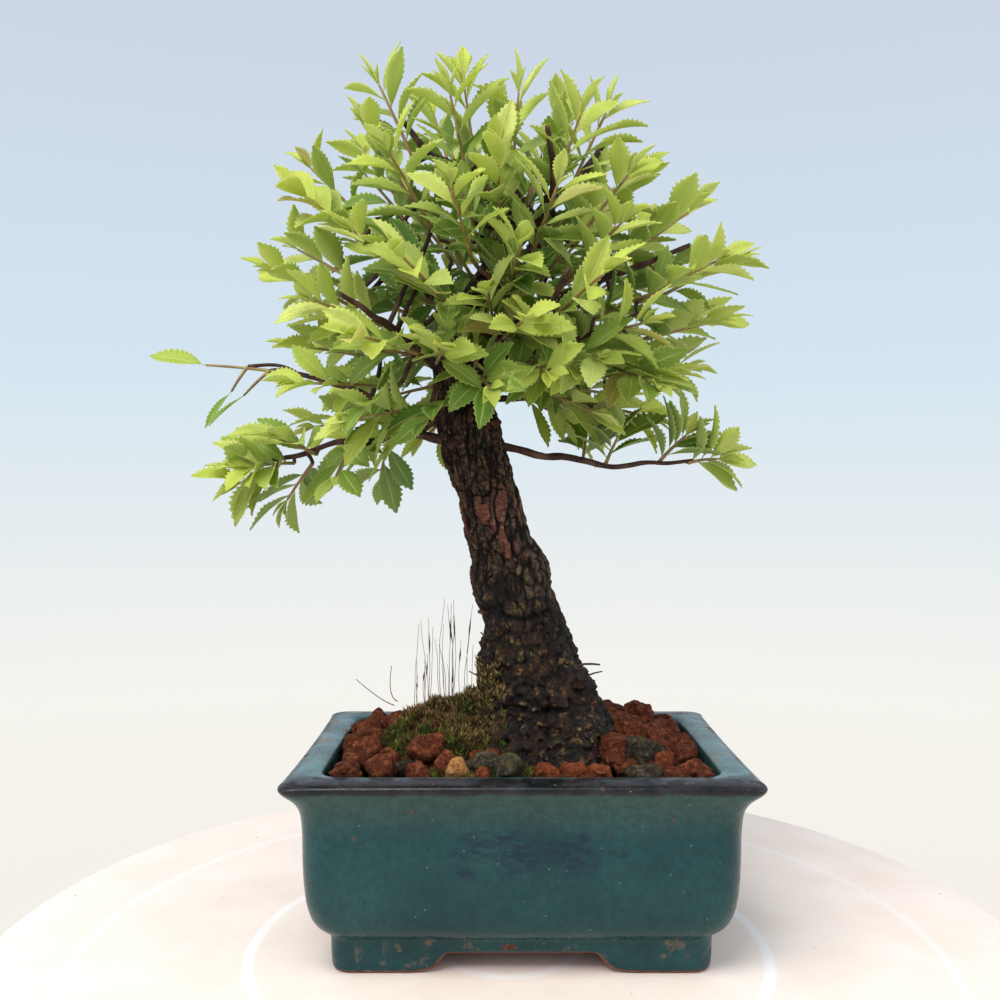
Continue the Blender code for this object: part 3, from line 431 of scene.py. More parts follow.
# %% Mark where the finish changes
edge_rows = np.array([max(0.0, 1 - abs(z - (top - 0.30 * LIP_THICK)) / (0.60 * LIP_THICK))
                      if inset < 0.0030 else 0.0 for inset, z, *_ in wall])
# Painted shade: on the front and back the flat of the rim is marked too, so it takes the dark of
# the outer roll.
flat_shade_rows = np.array([0.95 - 30 * inset if inset < LIP_WIDTH + 0.001 and z > top - 0.0016
                      else 0.0 for inset, z, *_ in wall])
along_front = np.clip((np.abs(pot_grid[..., 1]) - pot_half[1] + 0.0180) / 0.0110, 0, 1)
edge_and_shade_marks = np.maximum(edge_rows[:, None], flat_shade_rows[:, None] * along_front)
foot_rows = np.array([1.0 if z < 0.0012 and lift > 0.5 else 0.0 for _, z, _, _, lift in wall])
under_rows = (np.arange(len(wall)) < 5).astype(float)
pot = write_piece("glazed_pot", close_ends(pot_grid), capped_faces(*pot_grid.shape[:2]),
                  marks={"rim_break_and_shade": close_marks(edge_and_shade_marks),
                         "bare_foot": close_marks(np.repeat(foot_rows, columns)),
                         "underside": close_marks(np.repeat(under_rows, columns))})
soften = pot.modifiers.new("soften", "SUBSURF")
soften.levels = soften.render_levels = 1
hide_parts("pot")
print("pot rows and columns", pot_grid.shape[:2])

# %% [markdown]
# ### Its glaze
# The glaze is mottled blue-green on the walls and paler towards the rim, partly its own colour and
# partly painted reflection of the bright table; a dark painted reflection crosses the middle of
# the front and back walls.  It runs thin and breaks to dark brown over the rim's outer roll;
# painted shade gives the flat of the rim on the front and back the same dark.  The clay is bare
# below the feet.  Dust and grit cling to the flat of the rim.  All of it is one shader with a
# clear, slightly rough coat.
# %% Glaze on the walls
glaze = Finish("teal_glaze_fired")
cloud = glaze.noise(38, 4, 0.62)
fine = glaze.noise(420, 3, 0.6)
walls = glaze.ramp(cloud, (0.30, 6, 48, 52), (0.50, 10, 60, 62), (0.72, 24, 70, 69))
spot = glaze.axes()
height = spot["Z"]
# Paler towards the rim: partly the glaze's own colour, partly painted reflection of the bright
# table in the cove under the lip.
shoulder_and_reflection = glaze.along(height, (top - 0.0155, 0.0), (top - 0.0065, 0.60),
                       wander=glaze.times(glaze.noise(60, 3), 0.06))
walls = glaze.blend(shoulder_and_reflection, walls, colour(54, 82, 75))
REFLECTION_HEIGHT, REFLECTION_HALF = 0.0405, 0.017  # painted reflection: a dark band here, in the middle of the wall
# Painted reflection: a dark, saturated blue-green band across the middle of the front and back
# walls, broken up by a fine ripple.
from_band = glaze.apart(height, REFLECTION_HEIGHT)
from_middle = glaze.sum("SUBTRACT", glaze.apart(spot["X"], pot_middle[0]), REFLECTION_HALF)
from_middle = glaze.sum("MAXIMUM", from_middle, 0.0)
reflection_field = glaze.sum("SUBTRACT", glaze.noise(34, 5, 0.66, stretch=(0.7, 1.0, 2.0)),
                   glaze.sum("MULTIPLY_ADD", from_band, 17.0, glaze.times(from_middle, 7.0)))
painted_reflection = glaze.ramp(reflection_field, (0.36, 0.0), (0.45, 1.0))
reflection_ripple = glaze.ramp(glaze.noise(480, 3, 0.6, stretch=(0.6, 1.0, 1.6)), (0.40, 0.15), (0.56, 1.0))
walls = glaze.blend(glaze.times(painted_reflection, reflection_ripple), walls, colour(0, 36, 52))
walls = glaze.blend(glaze.ramp(fine, (0.42, 0.0), (0.60, 0.4)), walls, colour(14, 42, 46))

# %% Glaze and dust on the rim
on_rim = glaze.times(glaze.facing_up((0.45, 0.0), (0.92, 1.0)),
                     glaze.along(height, (top - 0.006, 0.0), (top - 0.002, 1.0)))
rim_blue = glaze.ramp(glaze.noise(60, 4, 0.65), (0.32, 38, 72, 76), (0.62, 82, 116, 118))
walls = glaze.blend(on_rim, walls, rim_blue)
dust = glaze.ramp(glaze.noise(95, 5, 0.7), (0.53, 0.0), (0.66, 1.0))
walls = glaze.blend(glaze.times(dust, glaze.times(on_rim, 0.75)), walls, colour(150, 122, 98))
# The outer roll breaks to dark brown glaze; the same dark on the flat of the front and back rim is
# painted shade.
broken_and_shaded = glaze.ramp(glaze.sum("ADD", glaze.mark("rim_break_and_shade"),
                              glaze.times(glaze.noise(130, 4, 0.6), 0.55)),
                    (0.70, 0.0), (1.05, 1.0))
walls = glaze.blend(broken_and_shaded, walls, glaze.ramp(glaze.noise(150, 4), (0.40, 15, 19, 21),
                                              (0.58, 36, 30, 32), (0.70, 30, 46, 50)))

# %% Specks, rust, grime and bare clay
specks = glaze.ramp(glaze.cells(520), (0.085, 1.0), (0.125, 0.0))
sparse = glaze.ramp(glaze.noise(150, 2), (0.52, 0.0), (0.60, 1.0))
walls = glaze.blend(glaze.times(specks, sparse), walls, colour(18, 26, 24))
rust = glaze.ramp(glaze.sum("ADD", glaze.cells(120), glaze.times(fine, 0.06)),
                  (0.095, 1.0), (0.125, 0.0))
walls = glaze.blend(glaze.times(rust, 0.6), walls, colour(92, 62, 44))
low = glaze.along(height, (0.10 / 12, 1.0), (0.20 / 12, 0.0))
grime = glaze.times(low, glaze.ramp(glaze.noise(170, 5, 0.72), (0.56, 0.0), (0.66, 0.8)))
walls = glaze.blend(grime, walls, colour(118, 94, 74))
pale = glaze.ramp(glaze.cells(260), (0.028, 1.0), (0.042, 0.0))
walls = glaze.blend(pale, walls, colour(196, 190, 176))
clay = glaze.ramp(glaze.noise(300, 4), (0.35, 96, 46, 30), (0.65, 138, 78, 54))
bare = glaze.sum("MAXIMUM", glaze.mark("bare_foot"), glaze.mark("underside"))
bare = glaze.ramp(bare, (0.35, 0.0), (0.7, 1.0))
walls = glaze.blend(bare, walls, clay)
# A small chip on the lower edge, in the middle of the front: the dark red clay shows.
chip_middle = (pot_middle[0] - 0.0038, pot_middle[1] - 0.0405, 0.0088)
chip = glaze.add("VectorMath", {0: glaze.place, 1: chip_middle}, operation="SUBTRACT").outputs[0]
chip = glaze.add("VectorMath", {0: chip, 1: (0.30, 0.25, 1.0)}, operation="MULTIPLY").outputs[0]
chip = glaze.add("VectorMath", {0: chip}, operation="LENGTH").outputs["Value"]
chip = glaze.sum("MULTIPLY_ADD", chip, 500.0, glaze.noise(420, 3))
chip = glaze.ramp(chip, (0.94, 1.0), (1.0, 0.0))
walls = glaze.blend(chip, walls,
                    glaze.ramp(glaze.noise(600, 3), (0.40, 52, 18, 13), (0.62, 122, 52, 36)))

# %% Gloss and relief of the glaze
shine = glaze.ramp(glaze.noise(230, 4, 0.6), (0.35, 0.20), (0.70, 0.38))
shine = glaze.blend(glaze.sum("MAXIMUM", bare, glaze.times(dust, on_rim)), shine,
                    (0.8, 0.8, 0.8))
relief = glaze.bump(glaze.noise(700, 2), 0.22, 0.0004,
                    glaze.bump(glaze.noise(90, 3), 0.25, 0.0009))
glaze.skin(Base_Color=walls, Roughness=shine, Normal=relief, Specular_IOR_Level=0.26,
           Coat_Weight=0.06, Coat_Roughness=0.14)
pot.data.materials.append(glaze.material)

# %% [markdown]
# ## The trunk
# The trunk is a stout cone that leans back to the left as it rises, then bends through the
# crown.  It is one sheet wrapped around a bent middle line: the angle runs around, the height
# runs up.  The bark is real relief, not just colour.  Old elm bark breaks into plates with
# fissures between them, so each plate gets its own height and tone, and the foot is cruder.
# %% Middle line and thickness of the trunk
# Rows in millimetres: height, sideways place, half-thickness across, half-thickness in depth.
trunk_plan = np.array([
    (50, 9.0, 24.0, 25.0), (58, 9.0, 27.2, 30.0), (64.5, 8.8, 26.4, 29.5), (71, 8.6, 24.6, 26.5),
    (78.8, 7.6, 22.0, 23.6), (86, 5.6, 20.2, 20.6), (93, 3.8, 18.4, 18.6), (100, 3.0, 16.9, 17.2),
    (107, 2.0, 15.1, 15.6), (114.5, -1.0, 14.3, 14.6), (121.7, -3.1, 14.3, 14.0),
    (128.8, -3.9, 13.6, 13.4), (132.4, -5.2, 12.9, 12.9), (136, -6.9, 12.1, 12.4),
    (143, -9.1, 11.4, 11.8), (150, -10.7, 11.2, 11.5), (157.4, -13.0, 11.4, 11.3),
    (164.5, -15.3, 11.9, 11.4), (172, -17.4, 11.8, 11.4), (179, -18.6, 11.4, 10.8),
    (186, -19.4, 10.2, 9.8), (195, -20.6, 8.8, 8.6), (207, -20.2, 7.4, 7.2),
    (222, -15.6, 6.2, 6.0), (236, -7.5, 5.0, 5.0), (245, -2.2, 4.4, 4.3), (257, -4.6, 3.4, 3.4),
    (266, -7.6, 2.4, 2.4)]) / 1000
trunk_rows, trunk_columns = 400, 224
share = np.linspace(0, 1, trunk_rows)
heights = trunk_plan[0, 0] + (trunk_plan[-1, 0] - trunk_plan[0, 0]) * share
middle_x = smoothed(trunk_plan[:, 0], trunk_plan[:, 1], heights)
thick_x = smoothed(trunk_plan[:, 0], trunk_plan[:, 2], heights)
thick_y = smoothed(trunk_plan[:, 0], trunk_plan[:, 3], heights)
middle_y = -0.006 * np.clip(1 - (heights - 0.06) / 0.09, 0, 1)


def on_trunk(height):
    """The point of the trunk's middle line at a height."""
    return np.array([np.interp(height, heights, middle_x), np.interp(height, heights, middle_y),
                     height])


# %% Bark relief
angle = np.linspace(0, 2 * np.pi, trunk_columns, endpoint=False)[None, :]
level = heights[:, None]
round_x, round_y = np.cos(angle), np.sin(angle)
skin = np.stack(np.broadcast_arrays(middle_x[:, None] + thick_x[:, None] * round_x,
                                    middle_y[:, None] + thick_y[:, None] * round_y, level), -1)
warp = uneven(skin / 0.011, 3, 3)
# Large plates, then small flakes: how many fit around the trunk, and how tall one is.
PLATES_AROUND, PLATE_TALL, FLAKES_AROUND, FLAKE_TALL = 12, 0.0088, 34, 0.0046
lap = angle / (2 * np.pi)
edge, tone = plates(lap * PLATES_AROUND + 0.9 * warp, level / PLATE_TALL + 1.1 * warp,
                    PLATES_AROUND, 11)
edge2, tone2 = plates(lap * FLAKES_AROUND + 1.2 * warp, level / FLAKE_TALL + 1.6 * warp,
                      FLAKES_AROUND, 29)
crack = np.clip(1 - edge / 0.16, 0, 1) ** 1.5
crack2 = np.clip(1 - edge2 / 0.20, 0, 1) ** 1.5
furrow = np.clip(1 - np.abs(uneven(np.stack([skin[..., 0] / 0.0034, skin[..., 1] / 0.0034,
                                             skin[..., 2] / 0.016], -1), 41, 3)) * 5.0, 0, 1)
crude = np.clip((0.118 - level) / 0.03, 0, 1)
slim = np.clip(thick_x / 0.0125, 0.25, 1.35)[:, None]
# Two cracks across the front: height, half-width.
split = np.zeros_like(warp)
for spot, reach in ((0.1105, 0.0008), (0.0805, 0.0009)):
    wander = spot + 0.0030 * warp + 0.0008 * np.sin(5 * angle)
    split = split + np.exp(-((level - wander) / reach) ** 2) * np.clip(
        1.2 - np.abs(angle - 4.7) / 1.3, 0, 1)
relief = (-0.00100 * crack * (1 - 0.4 * crude) + 0.00085 * (tone - 0.5) * (1 - 0.3 * crude)
          - 0.00045 * crack2 + 0.00035 * (tone2 - 0.5) - 0.0007 * furrow * (1 - crude)
          + 0.00060 * uneven(skin / 0.0016, 5, 3) + 0.0022 * crude * uneven(skin / 0.0065, 9, 3)
          - 0.0030 * crude * np.clip(np.abs(uneven(skin / 0.0046, 15, 3)) - 0.06, 0, 0.5)
          + 0.0010 * crude * uneven(skin / 0.0018, 19, 2) - 0.0016 * split) * slim
lobes = 1 + (0.045 * np.exp(-(level - 0.06) / 0.022)) * np.sin(5 * angle + 0.7)
bark_grid = np.stack(np.broadcast_arrays(
    middle_x[:, None] + (thick_x[:, None] * lobes + relief) * round_x,
    middle_y[:, None] + (thick_y[:, None] * lobes + relief) * round_y, level), -1)
trunk = write_piece("trunk_bark", close_ends(bark_grid), capped_faces(trunk_rows, trunk_columns),
                    marks={"crack": close_marks(np.clip(crack + 0.7 * crack2 + furrow * (1 - crude)
                                                        + 1.3 * split, 0, 1)),
                           "tone": close_marks(0.65 * tone + 0.35 * tone2)})
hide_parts("trunk")
print("trunk faces", trunk_rows * trunk_columns)

# %% Bark of the foot
bark = Finish("elm_bark_old")
up = bark.axes()
tone_mark, crack_mark = bark.mark("tone"), bark.mark("crack")
grit = bark.noise(900, 4, 0.65)
clod = bark.noise(330, 5, 0.72)
dark_foot = bark.ramp(clod, (0.36, 8, 6, 5), (0.49, 28, 21, 15), (0.56, 52, 39, 26),
                      (0.62, 110, 88, 54), (0.70, 156, 132, 86))
foot_red = bark.ramp(bark.noise(90, 3, 0.6), (0.46, 0.0), (0.60, 0.75))
dark_foot = bark.blend(foot_red, dark_foot, bark.ramp(clod, (0.36, 16, 9, 7), (0.56, 58, 34, 22),
                                                      (0.74, 120, 80, 52)))

# %% Flaky bark higher up
flaky = bark.ramp(tone_mark, (0.18, 36, 28, 22), (0.40, 62, 46, 35), (0.54, 44, 36, 27),
                  (0.68, 94, 66, 54), (0.86, 118, 70, 56))
speckle = bark.ramp(bark.noise(620, 4, 0.7), (0.40, 34, 24, 19), (0.52, 78, 56, 43),
                    (0.62, 128, 106, 82), (0.74, 170, 140, 124))
flaky = bark.blend(bark.ramp(bark.noise(210, 3), (0.36, 0.30), (0.62, 0.80)), flaky, speckle)
ROSY_HEIGHT = 0.139  # fresh reddish bark where plates have dropped off
rosy = bark.times(bark.ramp(tone_mark, (0.60, 0.0), (0.70, 1.0)),
                  bark.ramp(bark.apart(up["Z"], ROSY_HEIGHT), (0.008, 0.55), (0.017, 0.0)))
flaky = bark.blend(rosy, flaky, bark.ramp(grit, (0.38, 82, 36, 28), (0.54, 126, 66, 54),
                                          (0.70, 176, 136, 124)))
lichen = bark.ramp(bark.noise(150, 4, 0.62), (0.56, 0.0), (0.66, 0.6))
flaky = bark.blend(lichen, flaky, bark.ramp(grit, (0.40, 74, 68, 44), (0.60, 134, 124, 86)))
# Grey bark on the right side: partly its own weathered grey, partly painted highlight where the
# light catches that side.
grey = bark.ramp(bark.noise(260, 4, 0.6, stretch=(1.6, 1.6, 0.5)), (0.38, 30, 25, 18),
                 (0.52, 84, 74, 55), (0.66, 148, 132, 102))
right = bark.along(up["X"], (0.0325, 0.0), (0.045, 0.85), gain=16.0,
                   wander=bark.times(bark.noise(70, 3), 0.7))
flaky = bark.blend(right, flaky, grey)

# %% Both barks together, with their cracks
upper = bark.along(up["Z"], (0.134, 0.0), (0.152, 1.0), gain=5.0,
                   wander=bark.times(bark.noise(90, 3), 0.22))
skin_colour = bark.blend(upper, dark_foot, flaky)
green = bark.times(bark.ramp(bark.noise(120, 4, 0.6), (0.54, 0.0), (0.70, 0.45)),
                   bark.along(up["Z"], (0.070, 1.0), (0.124, 0.0), gain=5.0))
skin_colour = bark.blend(green, skin_colour, colour(46, 52, 24))
skin_colour = bark.blend(bark.ramp(crack_mark, (0.25, 0.0), (0.85, 0.92)), skin_colour,
                         colour(14, 10, 8))
relief_fine = bark.bump(bark.noise(1500, 4, 0.7), 0.7, 0.0009,
                        bark.bump(bark.noise(480, 4, 0.65), 0.8, 0.0018))
wet = bark.blend(upper, bark.ramp(clod, (0.34, 0.46), (0.62, 0.80)),
                 bark.ramp(grit, (0.3, 0.72), (0.7, 0.95)))
bark.skin(Base_Color=skin_colour, Roughness=wet, Normal=relief_fine, Specular_IOR_Level=0.20)
trunk.data.materials.append(bark.material)

# %% [markdown]
# ## Branches
# A branch is a profile carried along a path: a ring of points set square to the path at each
# step, thinner towards the end, with knots and slight bends.  The heavy branches start inside
# the trunk so that no gap shows where they leave it.
# %% A round stem along a path


def stem_grid(path, radii, sides, seed, knotty=0.12):
    """Rings square to a smooth path; the radius swings with unevenness along the stem."""
    path = np.asarray(path, float)
    ahead = np.gradient(path, axis=0)
    ahead /= np.linalg.norm(ahead, axis=1, keepdims=True) + 1e-12
    helper = np.eye(3)[np.argmin(np.abs(ahead.mean(0)))]
    side = np.cross(ahead, helper)
    side /= np.linalg.norm(side, axis=1, keepdims=True) + 1e-12
    other = np.cross(ahead, side)
    turn = np.linspace(0, 2 * np.pi, sides, endpoint=False)
    ring = (side[:, None] * np.cos(turn)[None, :, None]
            + other[:, None] * np.sin(turn)[None, :, None])
    swell = 1 + knotty * uneven(path[:, None] / 0.004 + ring * 0.8, seed, 2)
    return path[:, None] + ring * (np.asarray(radii)[:, None] * swell)[..., None]


def join_closed(grids):
    """Several closed grids as one set of points and faces."""
    points, faces, start = [], [], 0
    for grid in grids:
        points.append(close_ends(grid))
        faces += [part + start for part in capped_faces(*grid.shape[:2])]
        start += len(points[-1])
    return np.concatenate(points), faces


def bent(start, end, leave, steps):
    """A bend that leaves its start in a given direction and arrives at its end."""
    t = np.linspace(0, 1, steps)[:, None]
    start, end, leave = (np.asarray(v, float) for v in (start, end, leave))
    elbow = start + leave * np.linalg.norm(end - start) * 0.5
    return start * (1 - t) ** 2 + elbow * 2 * t * (1 - t) + end * t ** 2


def wandering(path, amount, seed):
    """A path with small sideways wander that fades out at its two ends."""
    t = np.linspace(0, 1, len(path))[:, None]
    drift = np.stack([uneven(path / 0.012 + k * 5.1, seed + k, 2) for k in range(3)], -1)
    return path + drift * amount * np.sin(np.pi * t)


# %% Where the branches run
# Each branch in millimetres: first the height where it leaves the trunk, then points it passes.
branch_plan = [
    (171, 2.1, [(-43, -6, 172), (-64, -10, 169), (-92, -14, 163)]),
    (172, 1.8, [(14, -6, 165), (36, -9, 162.5), (60, -12, 164)]),
    (186, 1.4, [(12, 6, 187), (26, 9, 184), (40, 12, 187)]),
    (175, 2.7, [(-43, 2, 182), (-60, 4, 189), (-80, 6, 196)]),
    (192, 2.4, [(-33, -18, 200), (-44, -36, 207), (-56, -50, 214)]),
    (203, 2.2, [(-8, -20, 206), (8, -40, 212), (14, -58, 220)]),
    (198, 2.4, [(-30, 18, 204), (-42, 36, 212), (-54, 52, 222)]),
    (212, 2.4, [(-4, 18, 216), (16, 38, 222), (28, 54, 232)]),
    (208, 2.6, [(2, -6, 215), (28, -8, 227), (60, -6, 240)]),
    (222, 2.6, [(-34, -3, 226), (-52, -2, 240), (-62, 0, 256)]),
    (196, 1.7, [(-4, -16, 197), (16, -26, 203), (40, -32, 212)]),
    (240, 3.2, [(6, 2, 250), (20, 4, 266), (32, 2, 280)]),
    (250, 2.6, [(-14, -4, 262), (-32, -6, 272), (-42, -8, 284)]),
    (236, 2.6, [(4, -16, 244), (10, -34, 254), (8, -44, 268)]),
    (232, 2.6, [(-6, 16, 242), (-10, 34, 254), (-12, 46, 266)]),
]
wood, wood_points, wood_radii = [], [], []
for number, (height, thick, stops) in enumerate(branch_plan):
    knots = np.array([on_trunk(height / 1000)] + [np.array(stop) / 1000 for stop in stops])
    path = smoothed(np.arange(4), knots, np.linspace(0, 3, 34))
    path = wandering(path, 0.0028, 60 + number)
    radii = thick / 1000 * (1 - 0.68 * np.linspace(0, 1, 34) ** 0.8)
    wood.append(stem_grid(path, radii, 14, number, 0.34))
    wood_points.append(path[8:])
    wood_radii.append(radii[8:])
crown_line = np.array([on_trunk(h) for h in np.linspace(0.205, 0.264, 10)])
wood_points.append(crown_line)
wood_radii.append(np.full(10, 0.003))
wood_points, wood_radii = np.concatenate(wood_points), np.concatenate(wood_radii)
print("branches", len(wood))

# %% [markdown]
# ## Where the shoots stand
# Foliage sits in a shell: each twig ends in a short green shoot with a handful of leaves.  The
# ends are spread evenly over the crown with the golden angle, then moved out to the outline of
# the crown, which is wider at the sides and low where the two bottom branches reach out.  A
# second, inner set of shoots fills the shade with older leaves.
# %% Outline of the crown and the shoots
crown_middle = np.array([-0.0069, 0.0, 0.2250])
outline_degrees = np.array([0, 12, 21, 33, 45, 60, 74, 90, 104, 117, 126, 141, 153, 165, 181, 192,
                            202, 212, 222, 230, 240, 250, 270, 290, 303, 312, 322, 334, 347, 360])
outline_reach = np.array([102, 92, 79, 73, 70, 82, 77, 74, 80, 88, 88, 87, 84, 84, 86, 86, 86,
                          92, 92, 84, 66, 50, 40, 50, 64, 72, 74, 76, 86, 100]) / 1000
CROWN_DEPTH = 0.074


def crown_reach(ways):
    """How far the crown reaches from its middle in each direction: an ellipse between the
    outline seen from the front and a steady half-depth."""
    flat = np.hypot(ways[:, 0], ways[:, 2])
    degrees = np.degrees(np.arctan2(ways[:, 2], ways[:, 0])) % 360
    outline = np.interp(degrees, outline_degrees, outline_reach)
    depth = CROWN_DEPTH * np.clip(outline / 0.09, 0.55, 1.05)
    return 1 / np.sqrt((flat / outline) ** 2 + (ways[:, 1] / depth) ** 2)


def even_ways(count, turn):
    """Directions spread evenly over a ball by the golden angle."""
    step = np.arange(count) + 0.5
    rise = 1 - 2 * step / count
    around = step * np.pi * (3 - np.sqrt(5)) + turn
    flat = np.sqrt(1 - rise ** 2)
    return np.stack([flat * np.cos(around), flat * np.sin(around), rise], -1)


def unit(vectors):
    """The same directions with length one."""
    return vectors / (np.linalg.norm(vectors, axis=-1, keepdims=True) + 1e-12)


# Shells of shoots: how many, first turn, depth in the crown, length, and age (0 new to 1 old).
shoots = []
for count, turn, depth, length, age in ((86, 0.4, 0.90, 0.030, 0.0), (42, 2.0, 0.66, 0.026, 0.55),
                                        (22, 1.1, 0.44, 0.022, 0.95)):
    ways = even_ways(count, turn)
    reach = crown_reach(ways)
    chance = scatter(count, 5 + int(age * 100))
    tips = crown_middle + ways * (reach * (depth + 0.09 * (chance - 0.5)))[:, None]
    keep = ~((ways[:, 2] < -0.45) & (np.abs(ways[:, 0]) < 0.42))
    keep &= tips[:, 2] > 0.146
    heading = unit(ways * [1.0, 1.0, 0.85] + [0, 0, 0.42])
    for tip, way in zip(tips[keep], heading[keep]):
        shoots.append((tip - way * length, tip, way, age))
# Shoots listed along the two low branches and in the gap below the crown, in
# millimetres: start, tip, age.
extra = [((-84, -12, 162), (-95, -16, 158), 0.0), ((-72, -10, 163), (-82, -4, 152), 0.4),
         ((-70, -14, 166), (-80, -27, 172), 0.2), ((-78, -12, 163), (-90, -22, 163), 0.1),
         ((58, -12, 163), (68, -14, 166), 0.0), ((48, -10, 163), (57, -14, 174), 0.4),
         ((30, -9, 163), (34, -14, 174), 0.6), ((22, -8, 164), (24, -2, 176), 0.7),
         ((-58, -10, 170), (-62, -22, 160), 0.5), ((-46, -8, 171), (-50, 2, 160), 0.6),
         ((-22, -20, 186), (-30, -36, 178), 0.8),
         ((-14, -22, 192), (-10, -46, 187), 0.5), ((2, -22, 197), (8, -46, 192), 0.3),
         ((-40, -20, 190), (-50, -38, 182), 0.6), ((-28, -24, 196), (-24, -52, 198), 0.1),
         ((14, -20, 200), (24, -44, 197), 0.3), ((-6, -26, 204), (0, -56, 206), 0.0),
         ((30, -16, 196), (42, -34, 190), 0.4), ((-8, -14, 190), (-22, -34, 204), 0.2)]
# The last three stand alone at the end of the long left branch and carry one leaf each.
alone = [((-84, 4, 196), (-113, 4, 200.5), 0.35), ((-98, 4, 198.5), (-104, 4, 191), 0.9),
         ((-90, 4, 197), (-98, -2, 189), 0.9)]
for start, end, age in extra + alone:
    start, end = np.array(start) / 1000, np.array(end) / 1000
    shoots.append((start, end, unit(end - start), age))
lone_shoots = len(shoots) - len(alone)
print("shoots", len(shoots))

# %% Twigs from the branches to the shoots
for number, (start, tip, way, age) in enumerate(shoots):
    away = start - wood_points
    cost = np.linalg.norm(away, axis=1) + 0.5 * np.clip(-(away @ way), 0, 1)
    near = int(np.argmin(cost))
    root, far = wood_points[near], np.linalg.norm(away[near])
    leave = unit(unit(away[near]) + [0, 0, 0.25] - way * 0.2)
    path = wandering(bent(root, start, leave, 9), min(0.0016, far * 0.06), 200 + number)
    thick = min(0.0013, 0.7 * wood_radii[near])
    wood.append(stem_grid(path, np.linspace(thick, 0.0007, 9), 7, number, 0.16))
# Snapped twigs on the trunk: height, direction, length from the middle line, thickness.
stubs = [(0.0893, (1.0, -0.25, 0.16), 0.0242, 0.0005),
         (0.0885, (-1.0, -0.5, 0.14), 0.0252, 0.00035),
         (0.0945, (-0.9, -0.6, 0.55), 0.0230, 0.0004), (0.1115, (-1, -0.5, 0.0), 0.0164, 0.0011),
         (0.0790, (0.9, -0.45, 0.55), 0.0262, 0.0004),
         (0.1740, (-0.5, -1.0, -0.4), 0.0150, 0.0022), (0.1760, (0.9, -0.8, 0.1), 0.0150, 0.0016)]
for number, (height, way, length, thick) in enumerate(stubs):
    way = unit(np.array(way))
    path = on_trunk(height) + way * np.linspace(0.2, 1, 9)[:, None] * length
    wood.append(stem_grid(wandering(path, 0.0034, 300 + number),
                          np.full(9, thick) * np.linspace(1.5, 0.6, 9), 8, number, 0.3))
branches = write_piece("branches", *join_closed(wood))

# %% Branch bark
young = Finish("elm_bark_young")
smooth_wood = young.ramp(young.noise(140, 3, 0.55), (0.34, 34, 20, 16), (0.52, 66, 40, 31),
                         (0.70, 104, 74, 58))
pores = young.ramp(young.cells(900), (0.10, 1.0), (0.20, 0.0))
smooth_wood = young.blend(young.times(pores, 0.5), smooth_wood, colour(150, 124, 100))
young.skin(Base_Color=smooth_wood, Roughness=0.68, Specular_IOR_Level=0.3,
           Normal=young.bump(young.noise(900, 4, 0.65), 0.5, 0.0006))
branches.data.materials.append(young.material)

# %% [markdown]
# ## Leaves
# An elm leaf is oval, widest past its middle, folded a little along a pale midrib and saw-toothed
# along its edge.  One small grid describes it: across from edge to edge, along from stalk to tip.
# The same formula is worked out for every leaf at once, each with its own size, fold, bend and
# twist, and a second layer just below gives the leaf a thickness and a paler underside.
# %% Seats of the leaves
LEAF_LENGTH, SHOOT_SAG = 0.0196, 0.0016
seats, aims, lifts, lengths, ages, owners, green_stems = [], [], [], [], [], [], []
for number, (start, tip, way, age) in enumerate(shoots):
    chance = mixed(np.arange(48), number, 77, 3)
    lone = number >= lone_shoots
    count = 7 + int(chance[0] * 2.9) if age < 0.5 else 5 + int(chance[0] * 2.5)
    side = unit(np.cross(way, [0.12 * (chance[1] - 0.5), 0.1, 1.0]))
    roll = (chance[2] - 0.5) * 2.2
    other = np.cross(side, way)
    side, other = (side * np.cos(roll) + other * np.sin(roll),
                   other * np.cos(roll) - side * np.sin(roll))
    bow = np.array([0, 0, -SHOOT_SAG]) * np.linspace(0, 1, 8)[:, None] ** 2
    green_stems.append(start + (tip - start) * np.linspace(0, 1, 8)[:, None] + bow)
    new_leaves = 0 if lone or age > 0.5 else 2
    for k in range(count - 1 if lone else 0, count + new_leaves):
        tiny = k >= count
        t = 1.0 if tiny else 0.16 + 0.84 * k / (count - 1)
        seat = start + (tip - start) * t + np.array([0, 0, -SHOOT_SAG]) * t * t
        last = k == count - 1
        open_angle = 0.12 if last else 0.98 - 0.42 * t + 0.30 * (chance[4 + k] - 0.5)
        open_angle = 0.34 if tiny else open_angle
        swing = 0.9 * (chance[14 + k] - 0.5)
        spread_way = side * np.cos(swing) + other * np.sin(swing)
        aim = unit(way * np.cos(open_angle) + spread_way * (-1) ** k * np.sin(open_angle)
                   + [0, 0, 0.16 * (chance[24 + k] - 0.3)])
        size = 0.62 + 0.42 * np.sin(np.pi * (0.22 + 0.62 * t)) + 0.18 * (chance[34 + k] - 0.5)
        if lone:
            size = 1.15 if number == lone_shoots else 0.85
        elif tiny:
            size = 0.34 + 0.20 * chance[30 + k - count]
        elif last:
            size *= 0.78
        seats.append(seat)
        aims.append(aim)
        lifts.append(way * 0.75 + np.array([0, -0.25, 0.75]))
        lengths.append(LEAF_LENGTH * size)
        older = age + 0.62 * (1 - t) + 0.30 * (chance[9 + k] - 0.5)
        ages.append(0 if tiny else np.clip(older, 0, 1))
        owners.append(number)
seats, aims, lifts = np.array(seats), np.array(aims), np.array(lifts)
lengths, ages, owners = np.array(lengths), np.array(ages), np.array(owners)
sides = unit(np.cross(aims, lifts))
normals = np.cross(sides, aims)
tilt = (scatter(len(seats), 91) - 0.5)[:, None] * 1.1
sides, normals = (sides * np.cos(tilt) + normals * np.sin(tilt),
                  normals * np.cos(tilt) - sides * np.sin(tilt))
print("leaves", len(seats))

# %% The leaf formula
LEAF_STEPS, LEAF_ACROSS, LEAF_THICK = 23, 5, 0.00016


